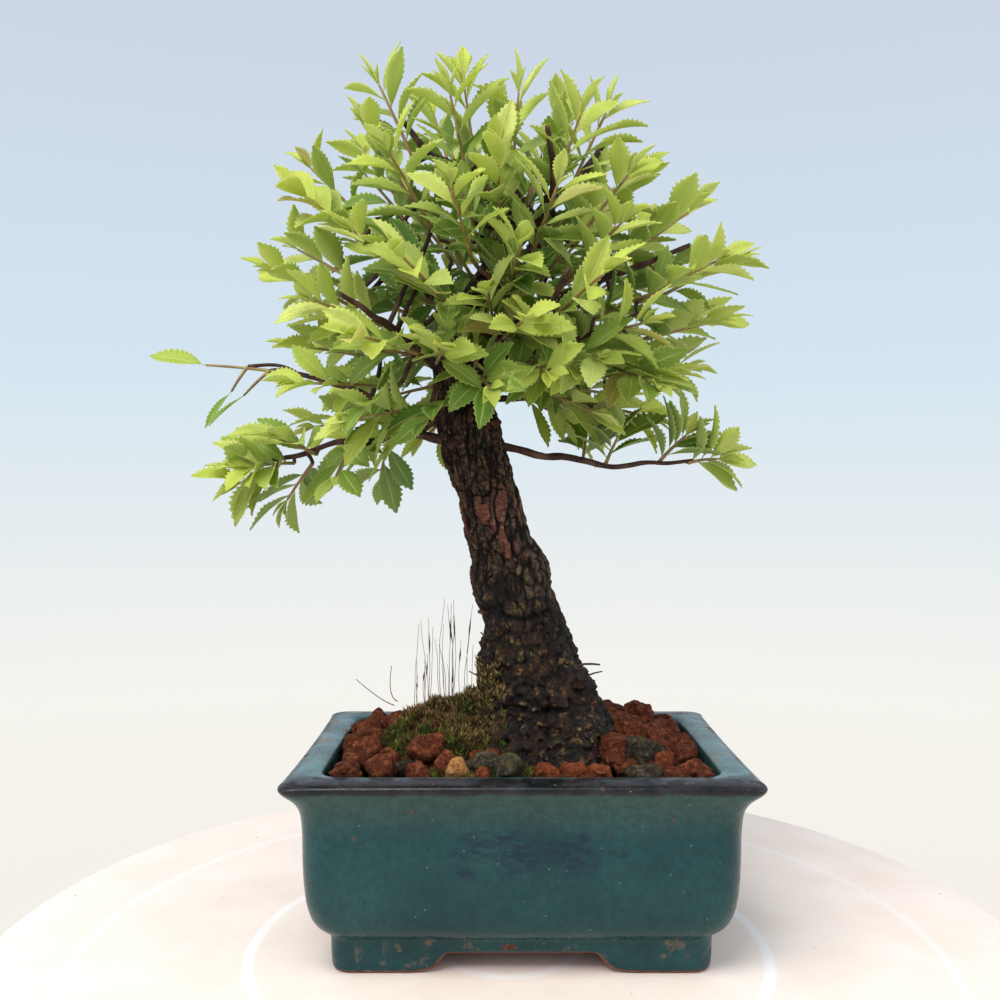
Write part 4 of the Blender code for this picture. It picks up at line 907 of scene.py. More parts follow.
def leaf_sheets():
    """Points of all leaves.  Half-width: a skewed sine power, wider past the middle, times a
    saw of eleven teeth at the edge.  Height: the fold, lower at the midrib, plus a slow edge
    wave, minus a bend that grows with the square of the way along."""
    n = len(seats)
    t = np.linspace(0, 1, LEAF_STEPS)[None, :, None]
    s = np.linspace(-1, 1, LEAF_ACROSS)[None, None, :]
    long = lengths[:, None, None]
    wide = long * (0.180 + 0.048 * scatter(n, 3)[:, None, None])
    stalk = 0.09
    blade = np.clip((t - stalk) / (1 - stalk), 0, 1)
    arch = np.clip(np.sin(np.pi * blade ** 1.08), 0, 1)
    half = wide * arch ** (0.72 + 0.36 * blade) + 0.00030 * (1 - blade)
    tooth = (np.arange(LEAF_STEPS) % 2)[None, :, None] * (blade > 0.06) * (blade < 0.97)
    out = np.abs(s)
    saw = 1 + (out > 0.9) * (0.24 * tooth - 0.10)
    forward = (out > 0.9) * tooth * 0.028
    fold = 0.18 + 0.42 * scatter(n, 21)[:, None, None] - 0.16 * ages[:, None, None]
    bend = 0.10 + 0.55 * (scatter(n, 33)[:, None, None] - 0.25) + 0.25 * ages[:, None, None]
    twist = 0.7 * (scatter(n, 47)[:, None, None] - 0.5) * t
    wave = 0.035 * wide * np.sin(2 * np.pi * (2.2 * t + scatter(n, 51)[:, None, None])) * s
    across = s * half * saw * (1 - 0.10 * out)
    rise = np.abs(across) * fold * (0.75 + 0.5 * out) + wave
    across, rise = (across * np.cos(twist) - rise * np.sin(twist),
                    rise * np.cos(twist) + across * np.sin(twist))
    along = long * (t + forward) * (1 - (bend * t) ** 2 / 6)
    rise = rise - long * bend * t ** 2 / 2
    along, across, rise = np.broadcast_arrays(along, across, rise)
    points = (seats[:, None, None] + aims[:, None, None] * along[..., None]
              + sides[:, None, None] * across[..., None]
              + normals[:, None, None] * rise[..., None])
    below = points - normals[:, None, None] * LEAF_THICK
    return points, below


upper_sheet, under_sheet = leaf_sheets()
per_sheet = LEAF_STEPS * LEAF_ACROSS
grid = np.arange(per_sheet).reshape(LEAF_STEPS, LEAF_ACROSS)
quads = np.stack([grid[:-1, :-1], grid[:-1, 1:], grid[1:, 1:], grid[1:, :-1]], -1).reshape(-1, 4)
rim = np.concatenate([grid[0], grid[1:, -1], grid[-1, -2::-1], grid[-2:0:-1, 0]])
rim_next = np.roll(rim, -1)
hem = np.stack([rim_next, rim, rim + per_sheet, rim_next + per_sheet], -1)
leaf_faces = np.concatenate([quads, quads[:, ::-1] + per_sheet, hem])
leaf_kinds = np.concatenate([np.zeros(len(quads)), np.ones(len(quads)), np.zeros(len(hem))])
leaf_map = np.stack(np.meshgrid(np.linspace(0, 1, LEAF_ACROSS), np.linspace(0, 1, LEAF_STEPS)),
                    -1).reshape(-1, 2)
turned_in = np.einsum("ij,ij->i", np.cross(upper_sheet[:, 9, 3] - upper_sheet[:, 9, 2],
                                           upper_sheet[:, 10, 2] - upper_sheet[:, 9, 2]),
                      normals)
if turned_in.mean() < 0:
    leaf_faces = leaf_faces[:, ::-1]
print("faces per leaf", len(leaf_faces))

# %% [markdown]
# ### Leaf finish
# Young leaves are yellow-green and glow when light comes through them; older ones inside the
# crown are deep green.  Veins run from the midrib to each tooth.  The leaf's own map gives the
# place across and along, so a slanted wave draws the side veins and a narrow band the midrib.
# %% Leaf materials


def leaf_finish(name, under):
    """The upper or the under side of a leaf."""
    leaf = Finish(name)
    part = leaf.axes(leaf.map)
    off = leaf.apart(part["X"], 0.5)
    age_mark, tint_mark = leaf.mark("age"), leaf.mark("tint")
    fresh = leaf.ramp(tint_mark, (0.0, 224, 230, 112), (0.55, 208, 220, 98), (1.0, 238, 240, 150))
    old = leaf.ramp(tint_mark, (0.0, 82, 124, 42), (0.6, 126, 162, 60), (1.0, 168, 190, 98))
    flesh = leaf.blend(leaf.ramp(age_mark, (0.16, 0.0), (0.80, 1.0)), fresh, old)
    rosy = leaf.ramp(tint_mark, (0.972, 0.0), (0.985, 0.6))
    flesh = leaf.blend(rosy, flesh, colour(206, 148, 92))
    patch = leaf.ramp(leaf.noise(330, 4, 0.6), (0.36, 0.0), (0.68, 0.45))
    flesh = leaf.blend(patch, flesh, leaf.blend(0.5, flesh, colour(158, 182, 76)))
    slant = leaf.sum("SUBTRACT", leaf.times(part["Y"], 52.0), leaf.times(off, 46.0))
    stripe = leaf.sum("SINE", slant)
    side_vein = leaf.ramp(leaf.sum("MULTIPLY_ADD", stripe, 0.5, 0.5), (0.90, 0.0), (0.99, 0.75))
    midrib = leaf.ramp(off, (0.020, 1.0), (0.055, 0.0))
    vein = leaf.sum("MAXIMUM", midrib, leaf.times(side_vein, 0.55))
    flesh = leaf.blend(leaf.times(vein, 0.62), flesh, colour(222, 232, 140))
    edge_pale = leaf.ramp(off, (0.42, 0.0), (0.495, 0.75))
    flesh = leaf.blend(edge_pale, flesh, colour(226, 232, 132))
    if under:
        flesh = leaf.blend(0.38, flesh, colour(172, 190, 140))
    ridge = leaf.sum("SUBTRACT", leaf.noise(1200, 2), leaf.times(vein, 0.9))
    relief = leaf.bump(ridge, -0.5 if under else 0.55, 0.0005)
    leaf.skin(Base_Color=flesh, Roughness=0.60 if under else 0.48, Normal=relief,
              Specular_IOR_Level=0.30)
    lit = leaf.blend(age_mark, colour(238, 242, 104), colour(160, 194, 58))
    through = leaf.add("BsdfTranslucent", {"Color": leaf.blend(0.55, flesh, lit),
                                           "Normal": relief})
    both = leaf.add("MixShader", {0: 0.42, 1: leaf.surface.outputs[0], 2: through.outputs[0]})
    leaf.links.new(both.outputs[0], leaf.end.inputs["Surface"])
    return leaf.material


leaf_top, leaf_under = leaf_finish("leaf_upper_side", False), leaf_finish("leaf_under_side", True)
green_stem = Finish("shoot_skin")
green_stem.skin(Base_Color=green_stem.ramp(green_stem.noise(160, 3), (0.36, 112, 104, 52),
                                           (0.56, 148, 112, 70), (0.70, 150, 160, 80)),
                Roughness=0.5, Normal=green_stem.bump(green_stem.noise(800, 2), 0.3, 0.0003))

# %% [markdown]
# ### One piece of foliage per packed shoot
# The CAD model holds the crown as 28 leafy shoots.  Every fine shoot joins the piece of the
# packed shoot that it is nearest to, and that piece then stands for it.
# %% Gather the shoots and write the foliage
packed = sorted(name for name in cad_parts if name.startswith("leaf_spray"))
packed_middles = np.array([np.mean(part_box(name), axis=0) for name in packed]) - pot_middle
middles = np.array([(start + tip) / 2 for start, tip, _, _ in shoots])
nearest = np.argmin(np.linalg.norm(middles[:, None] - packed_middles[None], axis=-1), axis=1)
for k in range(len(packed)):
    if not (nearest == k).any():
        order = np.argsort(np.linalg.norm(middles - packed_middles[k], axis=1))
        spare = next(i for i in order if (nearest == nearest[i]).sum() > 1)
        nearest[spare] = k
tint = scatter(len(seats), 61)
leaf_total = 0
for k, name in enumerate(packed):
    mine = np.flatnonzero(np.isin(owners, np.flatnonzero(nearest == k)))
    points = np.concatenate([np.concatenate([upper_sheet[i].reshape(-1, 3),
                                             under_sheet[i].reshape(-1, 3)]) for i in mine])
    per_leaf = 2 * per_sheet
    start = (np.arange(len(mine)) * per_leaf)[:, None, None]
    stems = [stem_grid(green_stems[i], np.linspace(0.00070, 0.00042, 8), 6, i, 0.08)
             for i in np.flatnonzero(nearest == k)]
    stem_points, stem_faces = join_closed(stems)
    faces = [(leaf_faces[None] + start).reshape(-1, 4)]
    faces += [part + len(points) for part in stem_faces]
    kinds = [np.tile(leaf_kinds, len(mine)), np.full(sum(map(len, stem_faces)), 2)]
    maps = np.tile(leaf_map, (2 * len(mine), 1))
    nothing = np.zeros(len(stem_points))
    foliage = write_piece(
        name.replace("leaf_spray", "foliage"), np.concatenate([points, stem_points]), faces,
        uv=np.concatenate([maps, np.zeros((len(stem_points), 2))]),
        marks={"age": np.concatenate([np.repeat(ages[mine], per_leaf), nothing]),
               "tint": np.concatenate([np.repeat(tint[mine], per_leaf), nothing])},
        kinds=np.concatenate(kinds))
    for material in (leaf_top, leaf_under, green_stem.material):
        foliage.data.materials.append(material)
    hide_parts(name)
    leaf_total += len(mine)
print("leaves written", leaf_total)

# %% [markdown]
# ## Soil, gravel and stones
# The pot is filled with dark soil, and a loose layer of red lava gravel lies on it.  Lava is
# frothy stone: lumps with blunt corners, pits and rough broken faces.  Each lump is a ball whose
# radius follows layered unevenness, squashed to its own proportions and turned its own way.
# %% Height of the soil
cavity = pot_half - LIP_WIDTH
SOIL_EDGE, SOIL_RISE = pot_height - 0.010, 0.008


def soil_height(x, y):
    """Lowest along the wall, a low dome towards the middle."""
    return SOIL_EDGE + SOIL_RISE * (np.clip(1 - (x / cavity[0]) ** 2, 0, 1)
                                    * np.clip(1 - (y / cavity[1]) ** 2, 0, 1))


moss_middle, moss_size = np.array([-0.0258, -0.002]), np.array([0.0236, 0.0245])
MOSS_HEIGHT = 0.020


def in_moss(x, y, room=0.0):
    """Below one inside the moss mound's outline."""
    return np.hypot((x - moss_middle[0]) / (moss_size[0] + room),
                    (y - moss_middle[1]) / (moss_size[1] + room))


def in_foot(x, y, room=0.0):
    """Below one inside the outline of the trunk's foot."""
    return np.hypot((x - 0.0095) / (0.0265 + room), (y + 0.006) / (0.0290 + room))


# %% Scatter the stones
lump_x, lump_y, lump_z, lump_r, lump_kind = [], [], [], [], []


def lay(x, y, z, radius, kind):
    """Remember one stone."""
    for store, value in zip((lump_x, lump_y, lump_z, lump_r, lump_kind), (x, y, z, radius, kind)):
        store.append(value)


# Stones that stand out, in millimetres: place, radius, and kind.
LAVA, TAN, GREY, ORANGE = 0, 1, 2, 3
named_stones = [(32.5, 5, 7.2, 0), (32, -21.5, 5.8, 0), (47, 30, 7.4, 0), (38.5, -23, 6.8, 2),
                (41.5, -38, 5.6, 2), (-21, -37.5, 4.6, 1), (-4, -37.5, 6.0, 2),
                (16.5, -39.5, 5.0, 3), (25, -39.5, 4.8, 3), (8.5, -39.8, 4.4, 3),
                (-12.5, -39.5, 3.6, 3), (-45, -35, 6.2, 0), (-56, -33, 4.6, 0), (-55, -24, 4.8, 0),
                (-52, -14, 5.2, 0), (-57, -4, 4.6, 0), (-50, 4, 5.0, 0), (-55, 15, 5.2, 0),
                (-46, 24, 5.8, 0), (-54, 32, 5.2, 0), (-38, 35, 5.8, 0), (56, -33, 5.2, 0),
                (55, -14, 5.0, 0), (55, 16, 6.0, 0), (49, 4, 5.6, 0), (-33, -37, 4.8, 0),
                (-24, -31, 4.4, 0), (33, 34, 6.4, 0), (41, 14, 6.2, 0), (56, 34, 5.4, 0),
                (49, -38, 4.6, 0), (57, -4, 4.8, 0), (24, 38, 5.6, 0)]
for x, y, radius, kind in named_stones:
    x, y, radius = x / 1000, y / 1000, radius / 1000
    lay(x, y, soil_height(x, y) + 0.0035 + 0.62 * radius, radius, kind)
seed = 0
for layer, (pitch, lift) in enumerate(((0.0088, 0.0010), (0.0105, 0.0058))):
    for row in range(int(2 * cavity[1] / pitch) + 1):
        for column in range(int(2 * cavity[0] / pitch) + 1):
            seed += 1
            chance = mixed(np.arange(6), seed, 9, layer)
            x = -cavity[0] + (column + 0.5 + 0.55 * (chance[0] - 0.5) + 0.5 * (row % 2)) * pitch
            y = -cavity[1] + (row + 0.5 + 0.55 * (chance[1] - 0.5)) * pitch
            radius = 0.0030 + 0.0034 * chance[2] ** 1.3
            if abs(x) > cavity[0] - 0.7 * radius or abs(y) > cavity[1] - 0.7 * radius:
                continue
            if in_foot(x, y, 0.1 * radius) < 1 or in_moss(x, y, -0.003) < 1:
                continue
            gaps = [math.hypot(x - a, y - b) / (radius + r) for a, b, r
                    in zip(lump_x[:len(named_stones)], lump_y, lump_r)]
            if min(gaps) < (0.62 if layer == 0 else 0.85):
                continue
            if layer == 1 and chance[3] < 0.25:
                continue
            kind = LAVA if chance[4] < 0.86 else (ORANGE if chance[4] < 0.95 else GREY)
            lay(x, y, soil_height(x, y) + lift + 0.75 * radius, radius, kind)
lump_kind, lump_r = np.array(lump_kind), np.array(lump_r)
print("stones", len(lump_r))

# %% The lump formula
LUMP_ROWS, LUMP_COLUMNS, LUMP_SIDES, LUMP_POWER = 17, 26, 11, 14


def lumps(centres, radii, seeds):
    """Blunt polyhedra: eleven flat sides at their own distances, joined by a power mean that
    rounds the corners, then layered unevenness; each is squashed its own way."""
    n = len(radii)
    down = np.linspace(0.10, np.pi - 0.10, LUMP_ROWS)[None, :, None]
    around = np.linspace(0, 2 * np.pi, LUMP_COLUMNS, endpoint=False)[None, None, :]
    ball = np.stack(np.broadcast_arrays(
        np.sin(down) * np.cos(around), np.sin(down) * np.sin(around), -np.cos(down)), -1)
    ball = np.repeat(ball, n, axis=0)
    press = 0.0
    for side in range(LUMP_SIDES):
        rise = 1 - 2 * (side + 0.5) / LUMP_SIDES + 0.30 * (mixed(seeds, side, 301) - 0.5)
        turn = side * 2.4 + mixed(seeds, side, 303) * 1.6 + seeds
        rise = np.clip(rise, -1, 1)
        flat = np.sqrt(1 - rise ** 2)
        face = np.stack([flat * np.cos(turn), flat * np.sin(turn), rise], -1)[:, None, None]
        reach = (0.74 + 0.34 * mixed(seeds, side, 307))[:, None, None]
        press = press + np.clip((ball * face).sum(-1) / reach, 0, None) ** LUMP_POWER
    out = press ** (-1 / LUMP_POWER)
    shift = (seeds * 7.31)[:, None, None, None]
    out = out + 0.17 * uneven(ball * 2.0 + shift, 71, 2) + 0.13 * uneven(ball * 5.0 + shift, 77, 2)
    squash = 0.80 + 0.46 * np.stack([mixed(seeds, k, 83) for k in range(3)], -1)
    squash[:, 2] *= 0.86
    return centres[:, None, None] + (ball * out[..., None] * squash[:, None, None]
                                     * radii[:, None, None, None])


centres = np.stack([lump_x, lump_y, lump_z], -1)
stones = lumps(centres, lump_r, np.arange(len(lump_r)) + 3)
limit = (cavity - 0.0006)[None, None, None]
stones[..., :2] = np.where(stones[..., 2:] < pot_height + 0.0005,
                           np.clip(stones[..., :2], -limit, limit), stones[..., :2])

# %% Stone materials


def stone_finish(name, dark, mid, light, film=None):
    """Rough pitted stone in three tones, darker low down as painted shade, with an optional green
    film on its upper side.
    """
    stone = Finish(name)
    shade = colour(*dark)
    crumbs = stone.noise(420, 5, 0.68)
    body_colour = stone.ramp(crumbs, (0.28, *dark), (0.50, *mid), (0.74, *light))
    hue = stone.ramp(stone.noise(75, 2), (0.35, 0.0), (0.65, 0.55))
    body_colour = stone.blend(hue, body_colour, stone.blend(0.5, body_colour, shade))
    # Painted shade: low down, where the stones lie among each other near the soil, the colour
    # darkens.
    painted_low_shade = stone.along(stone.axes()["Z"], (SOIL_EDGE + 0.004, 0.85), (SOIL_EDGE + 0.012, 0.0))
    body_colour = stone.blend(painted_low_shade, body_colour, tuple(0.35 * part for part in shade))
    holes = stone.ramp(stone.cells(1100), (0.10, 1.0), (0.26, 0.0))
    body_colour = stone.blend(stone.times(holes, 0.7), body_colour, shade)
    if film is not None:
        amount = stone.times(stone.facing_up((0.45, 0.0), (0.8, 1.0)),
                             stone.ramp(stone.noise(260, 4), (0.50, 0.0), (0.64, 0.8)))
        body_colour = stone.blend(amount, body_colour, colour(*film))
    relief = stone.bump(crumbs, 1.0, 0.0022, stone.bump(stone.cells(900), 0.7, 0.0010))
    return stone.skin(Base_Color=body_colour, Roughness=0.92, Normal=relief,
                      Specular_IOR_Level=0.15)


lava = stone_finish("lava_red_brown", (36, 15, 8), (106, 52, 30), (170, 104, 68))
orange = stone_finish("lava_orange", (62, 24, 11), (132, 66, 36), (178, 108, 66))
tan_look = stone_finish("stone_tan", (112, 66, 32), (182, 126, 72), (222, 178, 122))
grey_look = stone_finish("stone_mossy", (26, 23, 18), (62, 54, 42), (122, 108, 86), (92, 90, 50))
lava_nodes = [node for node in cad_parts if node.startswith("lava_lump")]
for name, kind, look, slot, nodes in (
        ("lava_gravel", LAVA, lava, "lava_gravel", ["gravel_layer", *lava_nodes]),
        ("orange_gravel", ORANGE, orange, "lava_gravel", []),
        ("tan_pebble", TAN, tan_look, "tan_stone", ["tan_stone"]),
        ("grey_stones", GREY, grey_look, "mossy_stone", ["mossy_stone_1", "mossy_stone_2"])):
    piece = write_piece(name, *join_closed(stones[lump_kind == kind]))
    piece.data.materials.append(look)
    if nodes:
        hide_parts(*nodes)


def refinish(node, material):
    """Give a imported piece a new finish."""
    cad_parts[node].data.materials.clear()
    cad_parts[node].data.materials.append(material)


refinish("soil", stone_finish("potting_earth", (16, 10, 7), (42, 26, 17), (84, 52, 36)))

# %% [markdown]
# ## Moss and its dry stalks
# Cushion moss is thousands of tiny upright sprigs, green where damp and tipped brown and tan
# where dry.  A bumpy dark mound carries them.  One sprig is a few narrow three-sided spikes, so
# thousands of them stay light.  Old spore stalks, thin as hair, stand up behind the mound.
# %% The mound below the sprigs


def moss_top(x, y):
    """Height of the moss: a dome over the soil with lumps, falling to nothing at its edge and
    higher beside the trunk."""
    from_middle = np.clip(in_moss(x, y), 0, 1)
    dome = np.sqrt(np.clip(1 - from_middle ** 2.2, 0, 1))
    bumps = uneven(np.stack([x, y, x * 0], -1) / 0.006, 97, 3)
    toward_trunk = np.clip((x + 0.034) / 0.028, 0, 1)
    return soil_height(x, y) + 0.0015 + MOSS_HEIGHT * dome * (0.66 + 0.34 * toward_trunk
                                                              + 0.42 * bumps)


mound_rows, mound_columns = 44, 120
from_middle = np.linspace(0.02, 1.0, mound_rows)[:, None]
turn = np.linspace(0, 2 * np.pi, mound_columns, endpoint=False)[None, :]
mound_x = moss_middle[0] + moss_size[0] * from_middle * np.cos(turn)
mound_y = moss_middle[1] + moss_size[1] * from_middle * np.sin(turn)
mound_top = np.stack([mound_x, mound_y, moss_top(mound_x, mound_y)], -1)
mound_skirt = mound_top[-1:].copy()
mound_skirt[..., 2] = SOIL_EDGE + 0.003
mound_grid = np.concatenate([mound_skirt, mound_top[::-1]])
mound = write_piece("moss_mound_body", close_ends(mound_grid), capped_faces(*mound_grid.shape[:2]))
mound.data.materials.append(
    stone_finish("moss_peat", (22, 17, 8), (50, 42, 20), (86, 70, 40), (58, 66, 26)))
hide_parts("moss_mound")

# %% Sprigs


SPIKES, SPIKE_WIDTH = 4, 0.00034


def sprigs(roots, tall, lean_seed):
    """Narrow three-sided spikes that fan out from each root point; returns points and faces."""
    n = len(roots)
    key = np.arange(n)
    point_sets = []
    for k in range(SPIKES):
        turn = mixed(key, k, lean_seed) * 2 * np.pi
        lean = 0.25 + 0.75 * mixed(key, k, lean_seed + 1)
        height = tall * (0.6 + 0.6 * mixed(key, k, lean_seed + 2))
        way = np.stack([np.cos(turn) * lean, np.sin(turn) * lean, np.ones(n)], -1)
        tip = roots + unit(way) * height[:, None]
        base = [roots + SPIKE_WIDTH * np.stack([np.cos(turn + a), np.sin(turn + a), 0 * turn], -1)
                for a in (0, 2.094, 4.189)]
        point_sets.append(np.stack(base + [tip], 1))
    points = np.stack(point_sets, 1).reshape(-1, 3)
    spike = np.array([(0, 1, 3), (1, 2, 3), (2, 0, 3), (0, 2, 1)])
    faces = (spike[None] + 4 * np.arange(n * SPIKES)[:, None, None]).reshape(-1, 3)
    return points, faces


# Roots all over the mound, but not inside the trunk's foot.
count = 4200
away = np.sqrt(scatter(count, 101)) * 1.02
turn = scatter(count, 103) * 2 * np.pi
root_x = moss_middle[0] + moss_size[0] * away * np.cos(turn)
root_y = moss_middle[1] + moss_size[1] * away * np.sin(turn)
clear = in_foot(root_x, root_y, -0.0025) > 1
root_x, root_y = root_x[clear], root_y[clear]
mound_roots = np.stack([root_x, root_y, moss_top(root_x, root_y) - 0.0003], -1)
# A thin strip of moss in front of the mound.
strip = 900
strip_x = -0.034 + 0.040 * scatter(strip, 107)
strip_y = -0.0335 - 0.0085 * scatter(strip, 109)
strip_z = soil_height(strip_x, strip_y) + 0.0050 + 0.0025 * uneven(
    np.stack([strip_x, strip_y, 0 * strip_x], -1) / 0.006, 3, 2)
# Moss that climbs up the trunk's left side.
climb = 620
climb_angle = np.pi + 1.5 * (scatter(climb, 113) - 0.35)
climb_z = 0.064 + 0.030 * scatter(climb, 127) ** 1.4
climb_mid = np.interp(climb_z, heights, middle_x)
climb_x = climb_mid + np.interp(climb_z, heights, thick_x) * np.cos(climb_angle)
climb_y = (np.interp(climb_z, heights, middle_y)
           + np.interp(climb_z, heights, thick_y) * np.sin(climb_angle))
all_roots = np.concatenate([mound_roots, np.stack([strip_x, strip_y, strip_z], -1),
                            np.stack([climb_x, climb_y, climb_z], -1)])
tall = 0.0015 + 0.0017 * scatter(len(all_roots), 131)
sprig_points, sprig_faces = sprigs(all_roots, tall, 137)
dry_part = uneven(all_roots / 0.010, 139, 2) * 0.5 + 0.5
dry_part = np.clip(1.3 * dry_part - 0.05 + 0.35 * (all_roots[:, 2] - 0.072) / 0.010, 0, 1)
tip_mark = np.tile([0.0, 0.0, 0.0, 1.0], len(all_roots) * SPIKES)
per_sprig = 4 * SPIKES
moss = write_piece("moss_sprigs", sprig_points, [sprig_faces], smooth=False,
                   marks={"tip": tip_mark, "dry": np.repeat(dry_part, per_sprig),
                          "shade": np.repeat(scatter(len(all_roots), 149), per_sprig)})
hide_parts("moss_front")
print("sprigs", len(all_roots))

# %% Moss material
moss_look = Finish("moss_living")
shade, tip_mark = moss_look.mark("shade"), moss_look.mark("tip")
damp = moss_look.ramp(shade, (0.0, 36, 46, 14), (0.6, 70, 82, 24), (1.0, 132, 142, 52))
dirt = moss_look.ramp(moss_look.noise(170, 4, 0.65), (0.50, 0.0), (0.58, 1.0))
damp = moss_look.blend(dirt, damp, moss_look.ramp(shade, (0.2, 46, 26, 15), (0.7, 98, 56, 34),
                                                  (1.0, 140, 98, 58)))
parched = moss_look.ramp(shade, (0.0, 70, 38, 22), (0.55, 118, 84, 50), (1.0, 186, 158, 104))
beside = moss_look.along(moss_look.axes()["X"], (pot_middle[0] - 0.020, 0.0),
                         (pot_middle[0] - 0.012, 0.8), start=pot_middle[0] - 0.040)
damp = moss_look.blend(beside, damp, moss_look.ramp(shade, (0.0, 24, 34, 10), (1.0, 84, 112, 34)))
tip_dry = moss_look.times(tip_mark, moss_look.mark("dry"))
moss_colour = moss_look.blend(moss_look.ramp(tip_dry, (0.25, 0.0), (0.62, 1.0)), damp, parched)
moss_colour = moss_look.blend(moss_look.ramp(tip_mark, (0.0, 0.7), (0.6, 0.0)), moss_colour,
                              colour(26, 22, 11))
moss_look.skin(Base_Color=moss_colour, Roughness=0.8, Specular_IOR_Level=0.2,
               Normal=moss_look.bump(moss_look.noise(2000, 2), 0.3, 0.0002))
moss.data.materials.append(moss_look.material)

# %% Dry stalks
stalk_grids = []
for number in range(24):
    chance = mixed(np.arange(8), number, 151, 1)
    foot_x = -0.0385 + 0.0225 * chance[0]
    foot_y = 0.001 + 0.010 * (chance[1] - 0.5)
    foot = np.array([foot_x, foot_y, moss_top(foot_x, foot_y) - 0.001])
    tall = 0.015 + 0.026 * chance[2]
    lean = np.array([0.004 * (chance[3] - 0.5), 0.004 * (chance[4] - 0.5), tall])
    path = bent(foot, foot + lean, unit(np.array([chance[5] - 0.5, chance[6] - 0.5, 5.0])), 9)
    path = wandering(path, 0.0010, 400 + number)
    radii = np.linspace(0.00012, 0.00007, 9)
    if chance[7] > 0.74:
        radii[6] = 0.00034
    stalk_grids.append(stem_grid(path, radii, 5, number, 0.1))
# Two thicker stalks at the left end of the mound.
for start, end in (((-44, -6, 78), (-57, -10, 88)), ((-43, -4, 79), (-45, -6, 92))):
    path = bent(np.array(start) / 1000, np.array(end) / 1000, np.array([-0.6, 0, 0.2]), 9)
    stalk_grids.append(stem_grid(path, np.linspace(0.00018, 0.00012, 9), 5, 3, 0.1))
stalks = write_piece("spore_stalks", *join_closed(stalk_grids))
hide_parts("dry_stalks")
stalk_look = Finish("stalk_dry")
stalk_look.skin(Base_Color=stalk_look.ramp(stalk_look.noise(400, 2), (0.4, 54, 30, 24),
                                           (0.6, 96, 66, 52)), Roughness=0.6,
                Normal=stalk_look.bump(stalk_look.noise(1500, 2), 0.3, 0.0002))
stalks.data.materials.append(stalk_look.material)

# %% [markdown]
# ## Net pads and their staples
# Each drain hole is covered inside by a black plastic net, held by a wire staple whose ends are
# bent outward below the floor.  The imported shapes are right, so they only get their finish.
# %% Net and wire finishes
net = Finish("net_black")
net.skin(Base_Color=net.ramp(net.noise(300, 3), (0.4, 18, 18, 18), (0.7, 48, 46, 42)),
         Roughness=0.6, Normal=net.bump(net.noise(1200, 2), 0.3, 0.0003))
copper = Finish("wire_brown")
copper.skin(Base_Color=copper.ramp(copper.noise(200, 3), (0.4, 120, 78, 52), (0.6, 158, 110, 78)),
            Metallic=1.0, Roughness=copper.ramp(copper.noise(500, 3), (0.4, 0.34), (0.6, 0.5)))
for side_name in ("left", "right"):
    refinish("drain_mesh_" + side_name, net.material)
    refinish("mesh_staple_" + side_name, copper.material)

# %% [markdown]
# ## Table, light and camera
# The object stands on a plain pale round table under soft studio light: a pale sky all round,
# a large soft lamp above and in front, and a weaker one on each side so that no shadow is hard.
# %% Table
TABLE_RADIUS, TABLE_COLUMNS = 0.178, 160
angles = np.linspace(0, 2 * np.pi, TABLE_COLUMNS, endpoint=False)
# Rows: share of the radius, height.
table_rows = [(0.0001, 0.0), (0.5, 0.0), (0.9, 0.0), (0.985, -0.0002), (1.0, -0.002),
              (1.0, -0.010), (0.98, -0.012), (0.0001, -0.012)]
table_grid = np.array([np.column_stack([TABLE_RADIUS * r * np.cos(angles) - 0.0035,
                                        TABLE_RADIUS * r * np.sin(angles) - 0.010,
                                        np.full(TABLE_COLUMNS, z)]) for r, z in table_rows])
table = write_piece("table", close_ends(table_grid[::-1]), capped_faces(*table_grid.shape[:2]))

# %% Table finish: cream paint with faint rings and a few crumbs
cream = Finish("cream_table")
cloudy = cream.ramp(cream.noise(30, 4), (0.35, 238, 221, 206), (0.65, 246, 231, 218))
grain = cream.ramp(cream.noise(900, 2), (0.40, 0.0), (0.62, 0.25))
cloudy = cream.blend(grain, cloudy, colour(232, 212, 196))
spot = cream.axes()
beside = cream.sum("ADD", spot["X"], 0.004 - pot_middle[0])
ahead = cream.sum("ADD", spot["Y"], 0.018 - pot_middle[1])
ring = cream.sum("SQRT", cream.sum("ADD", cream.times(beside, beside), cream.times(ahead, ahead)))
ring = cream.sum("MULTIPLY_ADD", cream.noise(40, 3), 0.001, ring)
for radius, width, strength in ((0.025, 0.0018, 0.6), (0.0865, 0.0017, 0.75),
                                (0.144, 0.0014, 0.35)):
    band = cream.along(cream.apart(ring, radius), (0.8 * width, strength), (1.3 * width, 0.0),
                       gain=100.0)
    cloudy = cream.blend(band, cloudy, colour(248, 242, 238))
crumbs = cream.times(cream.ramp(cream.cells(95), (0.035, 1.0), (0.055, 0.0)),
                     cream.ramp(cream.noise(24, 2), (0.50, 0.0), (0.58, 1.0)))
cream.skin(Base_Color=cream.blend(crumbs, cloudy, colour(142, 112, 82)), Roughness=0.7,
           Specular_IOR_Level=0.2, Normal=cream.bump(cream.noise(1400, 2), 0.08, 0.0003))
table.data.materials.append(cream.material)

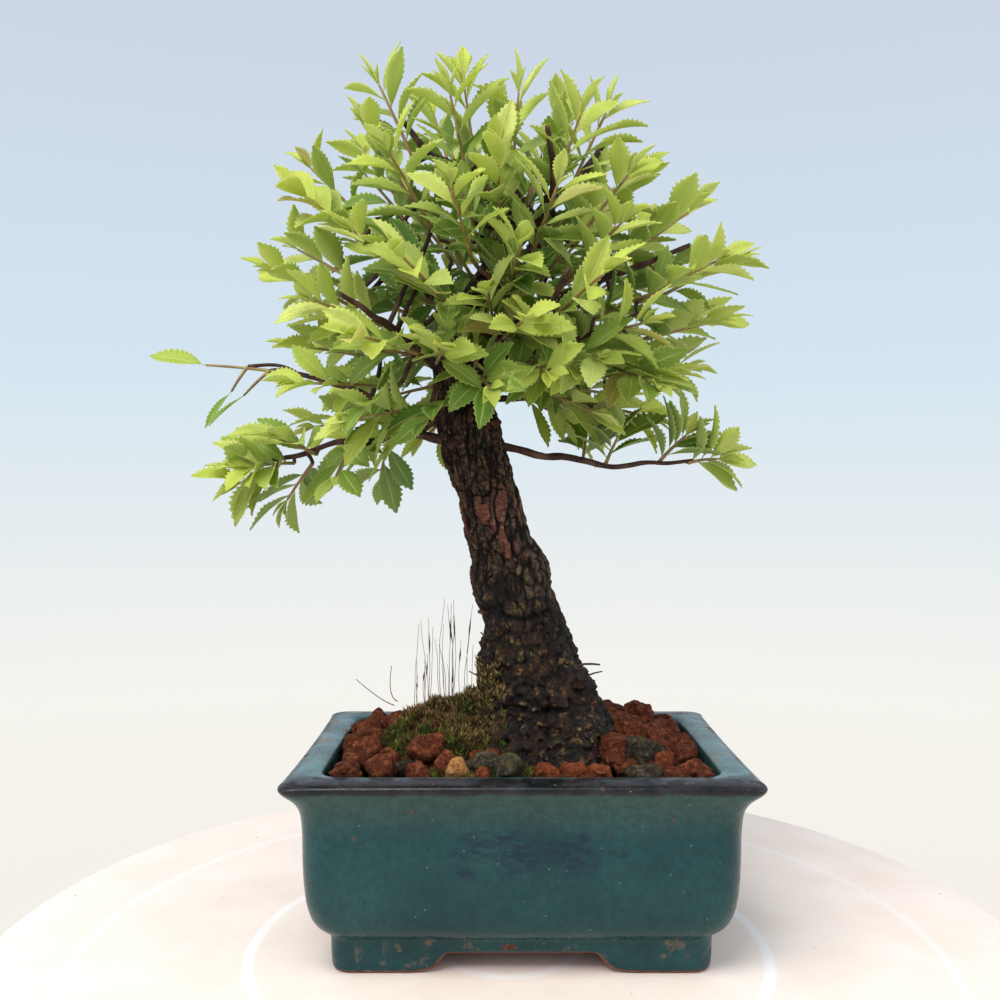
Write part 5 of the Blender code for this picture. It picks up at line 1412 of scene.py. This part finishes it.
# %% Sky and lamps
world = bpy.data.worlds.new("studio")
bpy.context.scene.world = world
world.use_nodes = True
sky = world.node_tree
for node in list(sky.nodes):
    sky.nodes.remove(node)
direction, parted, level, shades, glow, out = (sky.nodes.new("ShaderNode" + kind) for kind in (
    "TexCoord", "SeparateXYZ", "MapRange", "ValToRGB", "Background", "OutputWorld"))
level.inputs["From Min"].default_value = -0.45
level.inputs["From Max"].default_value = 0.45
for output, entry in ((direction.outputs["Generated"], parted.inputs[0]),
                      (parted.outputs["Z"], level.inputs["Value"]),
                      (level.outputs[0], shades.inputs["Fac"]),
                      (shades.outputs["Color"], glow.inputs["Color"]),
                      (glow.outputs[0], out.inputs[0])):
    sky.links.new(output, entry)
bar = shades.color_ramp
bar.elements.new(0.3)
bar.elements.new(0.6)
for element, (spot, *tint) in zip(bar.elements, ((0.06, 246, 240, 232), (0.30, 245, 244, 238),
                                                 (0.64, 212, 229, 241), (0.96, 204, 214, 230))):
    element.position = spot
    element.color = (*colour(*tint), 1.0)
glow.inputs["Strength"].default_value = 1.0


LAMP_SIZE = 0.7


def lamp(name, place, aim, power, tint=(1.0, 1.0, 1.0)):
    """A square soft lamp at a place, turned to face its aim."""
    data = bpy.data.lights.new(name, "AREA")
    data.shape = "SQUARE"
    data.size = LAMP_SIZE
    data.energy = power
    data.color = tint
    made = bpy.data.objects.new(name, data)
    bpy.context.scene.collection.objects.link(made)
    made.location = np.array(place) + pot_middle
    way = np.array(aim) - np.array(place)
    made.rotation_euler = (math.atan2(math.hypot(way[0], way[1]), -way[2]), 0,
                           math.atan2(-way[0], way[1]))


lamp("lamp_above", (-0.35, -0.55, 1.10), (0, 0, 0.18), 12, (1.0, 0.99, 0.965))
lamp("lamp_left", (-1.00, -0.50, 0.45), (0, 0, 0.15), 3.5)
lamp("lamp_right", (0.95, -0.45, 0.50), (0, 0, 0.15), 3.5)

# %% Camera
camera_data = bpy.data.cameras.new("camera")
camera_data.lens = 36.5
camera_data.sensor_width = 36.0
camera_data.shift_y = -0.005
camera_data.clip_start = 0.01
camera = bpy.data.objects.new("camera", camera_data)
bpy.context.scene.collection.objects.link(camera)
camera.location = np.array([-0.0069, -0.3625, 0.152]) + pot_middle
camera.rotation_euler = (math.pi / 2, 0, 0)
bpy.context.scene.camera = camera
bpy.context.scene.view_settings.view_transform = "Standard"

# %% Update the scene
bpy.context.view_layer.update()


def plain(box):
    """A box as plain lists of numbers."""
    return [[float(number) for number in corner] for corner in box]
